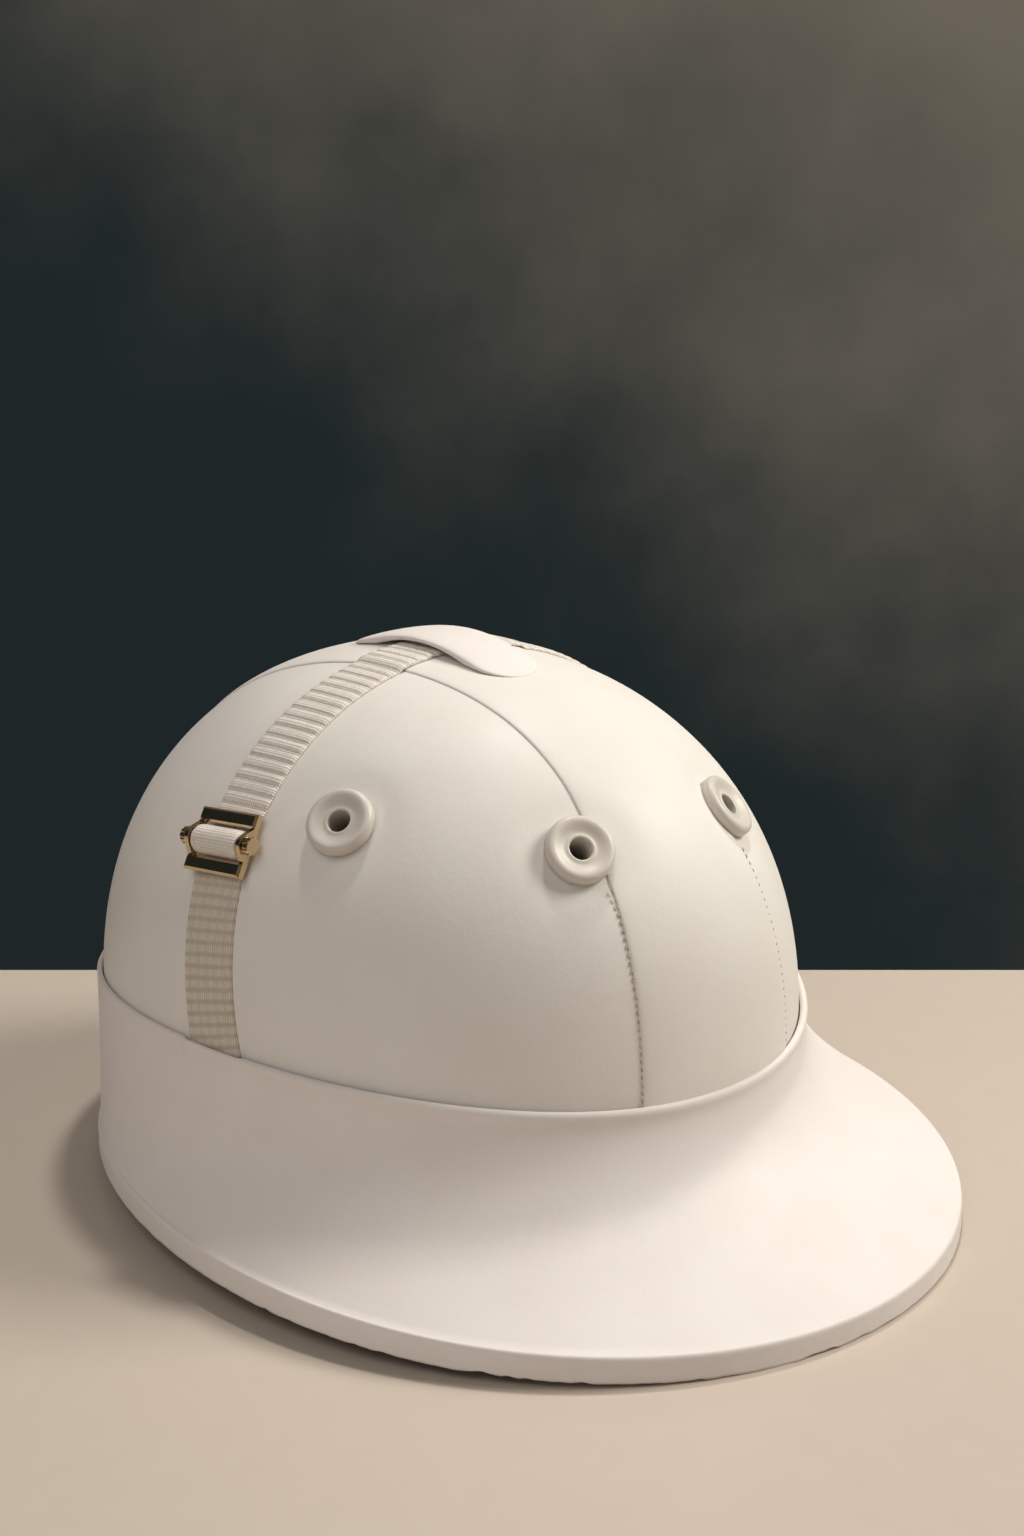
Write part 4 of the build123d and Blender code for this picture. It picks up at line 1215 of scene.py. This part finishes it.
@dataclass
class CrownStrap:
    """The webbing over the crown, woven in ribs across, and its turn over the buckle's sliding bar."""

    finishes: Materials
    width: float = 20.5
    thick: float = 1.4
    lip_y: float = -17.0
    half_y: float = -6.0
    top_y: float = -3.0
    half_z: float = 120.0
    buckle_z: float = 123.0
    gap: float = 6.8
    rib_pitch: float = 4.15
    rib_height: float = 0.5
    row_pitch: float = 3.5
    cord_height: float = 0.07
    cord_depth: float = 0.12
    cord_pitch: float = 0.9
    over_cord_depth: float = 0.06
    step: float = 0.3
    columns: int = 41
    # Where the strap climbs on to the raised centre band, over what width, and how high
    climb_x: float = 28.5
    climb_width: float = 2.5
    climb: float = 0.95
    # How much of the webbing's thickness is left at its selvedge
    selvedge_share: float = 0.45
    under: float = 0.05
    buckle_half: float = 10.0
    fold_width: float = 19.4
    fold_length: float = 16.0
    fold_rows: int = 48
    fold_cord: float = 0.1
    # The fold's two arcs: radius, height of the centre over the crown, and reach each way in degrees
    fold_outer: float = 4.45
    fold_outer_z: float = 2.84
    fold_outer_turn: float = 109.6
    fold_inner: float = 3.14
    fold_inner_z: float = 2.76
    fold_inner_turn: float = 116.8

    def middle_y(self, z: np.ndarray) -> np.ndarray:
        """Where the strap's middle runs at a height."""
        low = float(CROWN.joint(np.array(self.lip_y)))
        middle, high = self.half_z, CROWN.widest_z + CROWN.rise
        return (
            self.lip_y * (z - middle) * (z - high) / ((low - middle) * (low - high))
            + self.half_y * (z - low) * (z - high) / ((middle - low) * (middle - high))
            + self.top_y * (z - low) * (z - middle) / ((high - low) * (high - middle))
        )

    def line(self) -> np.ndarray:
        """The strap's middle on the right side, from behind the lip up to the top."""
        low = CROWN.joint_side - 4.0
        high = CROWN.widest_z + CROWN.rise
        z = high - (high - low) * np.linspace(1, 0, 1500) ** 2
        z[-1] = high - 1e-4
        y = self.middle_y(z)
        return CROWN.beside(y, z, -1)

    def strip(
        self, name: str, node: str, start: float, end: float, over: bool
    ) -> Object:
        """Makes a stretch of webbing that lies on the crown.

        Args:
            name: The piece's name.
            node: The CAD node that it stands for.
            start: Where along the line it starts, in millimetres.
            end: Where it ends; a stretch over the top runs on down the other side.
            over: Whether it is the ribbed stretch that runs over the top.

        Returns:
            The strip.
        """
        line = self.line()
        ribs, cords, pitch = self.cord_height, self.cord_depth, self.row_pitch
        if over:
            ribs, cords, pitch = self.rib_height, self.over_cord_depth, self.rib_pitch
            line = np.concatenate([line, (line * FLIP)[::-1][1:]])
            end = lengths(line)[-1]
        run = lengths(line)
        at = np.linspace(start, end, int((end - start) / self.step))
        behind, middle, ahead = (along_line(at + off, run, line) for off in (-0.5, 0.0, 0.5))
        side = np.cross(ahead - behind, CROWN.outward(middle))
        side /= np.linalg.norm(side, axis=1, keepdims=True)
        across = np.linspace(-1, 1, self.columns) * self.width / 2
        spread = middle[:, None] + side[:, None] * across[None, :, None]
        face = CROWN.place(spread - CROWN.centre())
        normal = CROWN.outward(face)
        raised = np.clip((self.climb_x - np.abs(face[..., 0])) / self.climb_width, 0, 1) * self.climb
        phase = at[:, None] / pitch * 2 * math.pi
        rib = np.clip(0.8 + 1.3 * np.sin(phase), 0, 1) ** 0.8
        thread = cords * np.sin(across / self.cord_pitch * 2 * math.pi)
        selvedge = 1 - np.clip(np.abs(across) / (self.width / 2), 0, 1) ** 14
        fullness = self.selvedge_share + (1 - self.selvedge_share) * selvedge
        height = raised + (self.thick - 0.45 + ribs * rib + thread) * fullness
        top = face + normal * height[..., None]
        bottom = face + normal * (raised + self.under)[..., None]
        points, faces = thick_sheet(top[:, ::-1], bottom[:, ::-1])
        flat = np.stack(np.broadcast_arrays(across[None, ::-1], at[:, None]), -1).reshape(-1, 2)
        # The stretch below the buckle takes the darker copy of the webbing: painted shade, for it lies in
        # shade
        finish = self.finishes["webbing" if over else "corded"]
        strip = mesh_object(name, points, faces, finish, np.concatenate([flat, flat]))
        return dress(strip, (node,))

    def build_fold(self) -> Object:
        """Makes the fold over the sliding bar, whose cords run along the strap."""
        z = self.buckle_z + np.array([-self.buckle_half, 0, self.buckle_half])
        below, middle, above = CROWN.beside(self.middle_y(z), z, -1)
        out = CROWN.outward(middle)
        across = np.cross(above - below, out)
        across /= np.linalg.norm(across)
        along = np.cross(out, across)
        x = np.linspace(-1, 1, 66) * self.fold_width / 2
        cords = self.fold_cord * np.cos(x / self.cord_pitch * 2 * math.pi)
        edge = np.clip(np.abs(x) / (self.fold_width / 2), 0, 1) ** 16
        shells = []
        for radius, height, reach, proud in (
            (self.fold_outer, self.fold_outer_z, self.fold_outer_turn, 1.0),
            (self.fold_inner, self.fold_inner_z, self.fold_inner_turn, 0.0),
        ):
            turn = np.linspace(-math.radians(reach), math.radians(reach), self.fold_rows)[:, None]
            smooth = np.clip(np.abs(turn) / 0.5, 0.25, 1)
            lift = radius + proud * (cords * smooth - 0.45 * edge)
            y, z = lift * np.sin(turn), height + lift * np.cos(turn)
            face = middle + y[..., None] * along + z[..., None] * out
            shells.append(face + x[None, :, None] * across)
        points, faces = thick_sheet(shells[0], shells[1])
        rows = np.linspace(0, self.fold_length, self.fold_rows)
        cloth = np.stack(np.broadcast_arrays(x[None, :], rows[:, None]), -1).reshape(-1, 2)
        both = np.concatenate([cloth, cloth])
        fold = mesh_object("bar_fold", points, faces, self.finishes["webbing"], both)
        return dress(fold, ("strap_fold",), "sliding_bar")

    def build(self) -> None:
        """Makes the stretches below and above the buckle, and the fold over the bar."""
        line = self.line()
        buckle = float(np.interp(self.buckle_z, line[:, 2], lengths(line)))
        self.strip("strap_below", "strap_lower", 0.0, buckle - self.gap, False)
        self.strip("strap_above", "strap_over", buckle + self.gap, 0.0, True)
        self.build_fold()


@dataclass(frozen=True)
class Band:
    """A band that follows the inside wall: its names, its section, and the angles that it passes."""

    name: str
    node: str
    slot: str
    low: float
    high: float
    depth: float
    thick: float
    thinned: float
    start: float = 0.0
    end: float = 2 * math.pi
    rows: int = 360
    columns: int = 56
    fill: float = 0.0

    def section(self) -> np.ndarray:
        """The closed outline, by depth under the leather and height, with rounded, thinned edges."""
        out, up = superellipse(self.columns, 0.25)
        depth = self.depth + self.thick / 2 + out * (self.thick / 2 - self.thinned * np.abs(up) ** 3)
        height = (self.high + self.low) / 2 + (self.high - self.low) / 2 * up
        return np.stack([depth, height], axis=-1)

    def build(self, finishes: Materials) -> None:
        """Makes the band.

        Args:
            finishes: The helmet's finishes.
        """
        ring = self.end - self.start > 6
        turn = np.linspace(self.start, self.end, self.rows, endpoint=not ring)[:, None]
        depth, height = self.section().T[:, None]
        x = (CROWN.half_width - depth) * np.sin(turn)
        y = -np.cos(turn) * (np.where(np.cos(turn) > 0, CROWN.front, CROWN.rear) - depth)
        grid = np.stack(np.broadcast_arrays(x, y, height), axis=-1)
        faces = quads(self.rows, self.columns, ring_rows=ring, ring_columns=True)
        if not ring:
            faces += end_caps(self.rows, self.columns)
        run = lengths(grid[:, 0])[:, None]
        cloth = np.stack(np.broadcast_arrays(height, run), -1).reshape(-1, 2)
        piece = mesh_object(self.name, grid, faces, finishes[self.slot], cloth)
        dress(piece, (self.node,))


@dataclass
class Inside:
    """The soft pieces inside: the sweatband, its pads and binding, the crown pad and the chin strap."""

    finishes: Materials
    pad_depth: float = 24.0
    pad_thick: float = 2.0
    pad_half: float = 51.33
    chin_depth: float = 27.9
    chin_thick: float = 1.4
    chin_near: float = 14.0
    chin_end_y: float = -31.0
    crown_pad_depth: float = 24.0
    crown_pad_thick: float = 8.0
    crown_pad_low: float = 136.0
    # The pad's sewn channels: how much thinner it is there, how wide each is, and where the ring runs
    channel_share: float = 0.22
    channel_wide: float = 0.075
    ring_share: float = 0.18
    ring_wide: float = 0.05
    ring_place_share: float = 0.45
    pad_clear: float = 0.3

    def bands(self) -> list[Band]:
        """The sweatband, the binding under the edge, the two size pads and the chin strap's halves."""
        pad = (21.0, 40.0, self.pad_depth, self.pad_thick, 0.5)
        reach = math.asin(self.pad_half / (CROWN.half_width - self.pad_depth))
        chin = (21.5, 36.5, self.chin_depth, self.chin_thick, 0.35)
        near = math.pi - math.asin(self.chin_near / (CROWN.half_width - self.chin_depth))
        far = math.acos(-self.chin_end_y / (CROWN.front - self.chin_depth))
        front, rear = (-reach, reach, 90, 56, 0.5), (math.pi - reach, math.pi + reach, 90, 56, 0.5)
        left, right = (far, near, 220), (2 * math.pi - near, 2 * math.pi - far, 220)
        return [
            Band("sweatband_leather", "sweatband", "lining_leather", 13.0, 47.0, 26.0, 1.6, 0.2),
            Band("edge_leather", "edge_binding", "lining_leather", 19.5, 21.0, 6.0, 20.0, 0.0),
            Band("size_pad_foam_front", "size_pad_front", "pad_foam", *pad, *front),
            Band("size_pad_foam_rear", "size_pad_rear", "pad_foam", *pad, *rear),
            Band("chin_webbing_left", "chin_strap_left", "chin_webbing", *chin, *left),
            Band("chin_webbing_right", "chin_strap_right", "chin_webbing", *chin, *right),
        ]

    def build_crown_pad(self) -> Object:
        """Makes the crown pad: a stuffed lens with six sewn channels on the side towards the head."""
        depth = self.crown_pad_depth
        rise = CROWN.rise - depth
        up = (self.crown_pad_low - CROWN.widest_z) / rise
        rim = (1 - up**CROWN.power) ** (1 / CROWN.power)
        rings, spokes = 34, 120
        share = np.sin(np.linspace(0, math.pi / 2, rings))[:, None]
        turn = np.linspace(0, 2 * math.pi, spokes, endpoint=False)[None, :]
        x = (CROWN.half_width - depth) * rim * share * np.sin(turn)
        along = np.where(np.cos(turn) > 0, CROWN.front - depth, CROWN.rear - depth)
        y = -along * rim * share * np.cos(turn)
        dome = np.maximum(1 - (rim * share) ** CROWN.power, 0) ** (1 / CROWN.power)
        top = np.broadcast_to(CROWN.widest_z + rise * dome, x.shape)
        full = np.sqrt(np.maximum(1 - share**6, 0))
        aside = (np.mod(turn, math.pi / 3) - math.pi / 6) * share
        swell = 1 - self.channel_share * np.exp(-((aside / self.channel_wide) ** 2))
        ring = (share - self.ring_place_share) / self.ring_wide
        swell = swell - self.ring_share * np.exp(-(ring**2))
        thick = (self.crown_pad_thick - 2 * self.pad_clear) * full * swell + 0.2
        top = top - self.pad_clear
        upper, lower = (np.stack([x, y, z], axis=-1) for z in (top, top - thick))
        points = np.concatenate([upper.reshape(-1, 3), lower.reshape(-1, 3)])
        made = quads(rings, spokes, ring_columns=True)
        count = rings * spokes
        faces = list(made) + [tuple(count + i for i in reversed(f)) for f in made]
        last = (rings - 1) * spokes
        for i in range(last, count):
            j = last + (i + 1) % spokes
            faces.append((i, j, count + j, count + i))
        pad = mesh_object("crown_pad_cloth", points, faces, self.finishes["lining_cloth"])
        dress(pad, ("crown_pad",))
        return pad

    def build(self) -> None:
        """Makes every soft piece inside."""
        for band in self.bands():
            band.build(self.finishes)
        self.build_crown_pad()


@dataclass(frozen=True)
class Lamp:
    """One soft square lamp: which way it lies from the crown, how far, how wide and how strong."""

    name: str
    turn: float
    height: float
    away: float
    size: float
    watts: float
    colour: str

    def add(self) -> None:
        """Hangs the lamp, facing the crown."""
        data = bpy.data.lights.new(self.name, "AREA")
        data.shape = "SQUARE"
        data.size = self.size
        data.energy = self.watts
        data.color = linear(self.colour)[:3]
        turn, height = math.radians(self.turn), math.radians(self.height)
        flat = math.cos(height)
        way = Vector((flat * math.cos(turn), flat * math.sin(turn), math.sin(height)))
        lamp = bpy.data.objects.new(self.name, data)
        lamp.location = Vector((0, 0.033, 0.08)) + way * self.away
        lamp.rotation_mode = "QUATERNION"
        lamp.rotation_quaternion = (-way).to_track_quat("-Z", "Y")
        bpy.context.scene.collection.objects.link(lamp)


@dataclass
class Studio:
    """The table, the background, the lamps and the camera."""

    azimuth: float = math.radians(-44.773)
    pitch: float = math.radians(14.81)
    focal_px: float = 2116.632
    centre_u: float = 437.995
    centre_v: float = 851.48
    distance: float = 710.955
    aim_z: float = 100.0
    frame_width: int = 1024
    frame_height: int = 1536
    sensor: float = 36.0
    table_edge: float = 156.4
    fill: float = 0.08
    lamps: tuple[Lamp, ...] = (
        # The hard key above, behind and to the right: it draws the crown's shadow on the brim
        Lamp("key_lamp", 22.2, 72.2, 1.5, 0.14, 10.0, "FFFAF4"),
        # The main window at the right, for the broad highlight of the crown's front
        Lamp("window_lamp", -40.0, 40.0, 1.6, 0.6, 20.5, "FFFAF2"),
        # The light wall and ceiling at the left
        Lamp("wall_bounce", 185.0, 52.0, 1.9, 1.3, 8.5, "FFF8F4"),
        # A low wide reflector beside the camera, that lights upright faces and hardly the table
        Lamp("reflector", -160.0, 6.0, 1.8, 0.9, 4.0, "FFF4EE"),
    )

    def ways(self) -> tuple[np.ndarray, np.ndarray, np.ndarray]:
        """The camera's forward, right and up directions."""
        a, e = self.azimuth, self.pitch
        forward = np.array([-math.sin(a) * math.cos(e), math.cos(a) * math.cos(e), -math.sin(e)])
        right = np.array([math.cos(a), math.sin(a), 0])
        return forward, right, np.cross(right, forward)

    def add_camera(self) -> None:
        """Sets the camera where the photograph was taken from."""
        forward, right, up = self.ways()
        aside = (self.centre_u - self.frame_width / 2) / self.focal_px
        above = (self.frame_height / 2 - self.centre_v) / self.focal_px
        back = forward + aside * right + above * up
        place = np.array([0, 0, self.aim_z]) - self.distance * back
        data = bpy.data.cameras.new("camera")
        data.sensor_width = self.sensor
        data.lens = self.focal_px / self.frame_height * self.sensor
        camera = bpy.data.objects.new("camera", data)
        turned = Matrix([[right[i], up[i], -forward[i]] for i in range(3)]).to_4x4()
        turned.translation = Vector(to_row(place)[0])
        camera.matrix_world = turned
        bpy.context.scene.collection.objects.link(camera)
        bpy.context.scene.camera = camera

    def add_world(self) -> None:
        """Sets an even fill, with a plain dark background behind the helmet and in its metal."""
        world = bpy.data.worlds.new("studio")
        bpy.context.scene.world = world
        world.use_nodes = True
        tree = world.node_tree
        tree.nodes.clear()
        path = add_node(tree, "ShaderNodeLightPath")
        seen = path.outputs["Is Camera Ray"]
        for kind in ("Is Glossy Ray", "Is Transmission Ray"):
            links = {0: seen, 1: path.outputs[kind]}
            seen = add_node(tree, "ShaderNodeMath", {"operation": "MAXIMUM"}, links).outputs["Value"]
        fill = add_node(tree, "ShaderNodeBackground", {"Color": linear("FFF8F6"), "Strength": self.fill})
        behind = add_node(tree, "ShaderNodeBackground", links={"Color": self.backdrop(tree)})
        links = {0: seen, 1: fill.outputs["Background"], 2: behind.outputs["Background"]}
        mixed = add_node(tree, "ShaderNodeMixShader", links=links)
        add_node(tree, "ShaderNodeOutputWorld", links={"Surface": mixed.outputs["Shader"]})

    def backdrop(self, tree: NodeTree) -> NodeSocket:
        """Paints the mottled dark wall by direction, lighter where the window's light reaches it.

        Args:
            tree: The world's node tree.

        Returns:
            The wall's colour.
        """
        _, right, up = self.ways()
        way = add_node(tree, "ShaderNodeTexCoord").outputs["Generated"]
        lit = add_node(
            tree,
            "ShaderNodeVectorMath",
            {"operation": "DOT_PRODUCT", 1: tuple(0.6 * right + 0.8 * up)},
            {0: way},
        )
        clouds = add_node(
            tree,
            "ShaderNodeTexNoise",
            {"Scale": 9.0, "Detail": 5.0, "Roughness": 0.55},
            {"Vector": way},
        )
        level = add_node(
            tree,
            "ShaderNodeMath",
            {"operation": "MULTIPLY_ADD", 1: 0.22},
            {0: clouds.outputs["Fac"], 2: lit.outputs["Value"]},
        )
        share = add_node(
            tree,
            "ShaderNodeMapRange",
            {"interpolation_type": "SMOOTHSTEP", "From Min": 0.14, "From Max": 0.56},
            {"Value": level.outputs["Value"]},
        )
        colour = add_node(
            tree,
            "ShaderNodeMix",
            {"data_type": "RGBA", 6: linear("1E2627"), 7: linear("6A6459")},
            {0: share.outputs["Result"]},
        )
        return colour.outputs[2]

    def add_floor(self) -> None:
        """Lays the plain pale table, whose far edge lies straight across the view."""
        forward, right, _ = self.ways()
        ahead = np.array([forward[0], forward[1], 0]) / math.hypot(forward[0], forward[1])
        along = np.linspace(-1600.0, self.table_edge, 2)[:, None, None] * ahead
        points = along + np.linspace(-1500.0, 1500.0, 2)[None, :, None] * right
        painted = Moulded("painted_table", "C8BCAE", "C3B7A9", 1.5, 0.01, 0.4).material()
        floor = mesh_object("floor", points, quads(2, 2), painted)

    def build(self) -> None:
        """Makes the whole studio."""
        bpy.context.scene.view_settings.view_transform = "Standard"
        self.add_camera()
        self.add_world()
        self.add_floor()
        for lamp in self.lamps:
            lamp.add()


def dress_frame(frame: dict, finishes: Materials) -> None:
    """Gives every CAD node that stays its finish.

    Args:
        finishes: The helmet's finishes.
    """
    slots = {part["node"]: part["material_slot"] for part in frame["record"]["subparts"]}
    for name, node in frame["nodes"].items():
        node.data.materials.clear()
        node.data.materials.append(finishes[slots[name]])
        LOG.info("%s: %s", name, slots[name])


def main() -> None:
    """Builds the dressed helmet."""
    logging.basicConfig(level=logging.INFO, format="%(message)s")
    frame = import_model()
    finishes = {name: finish.material() for name, finish in FINISHES.items()}
    dress_frame(frame, finishes)
    Studio().build()
    for assembly in (CrownCovers, SeamStitches, Eyelets, Brim, TopLoop, CrownStrap, Inside):
        assembly(finishes).build()


if __name__ == "__main__":
    main()
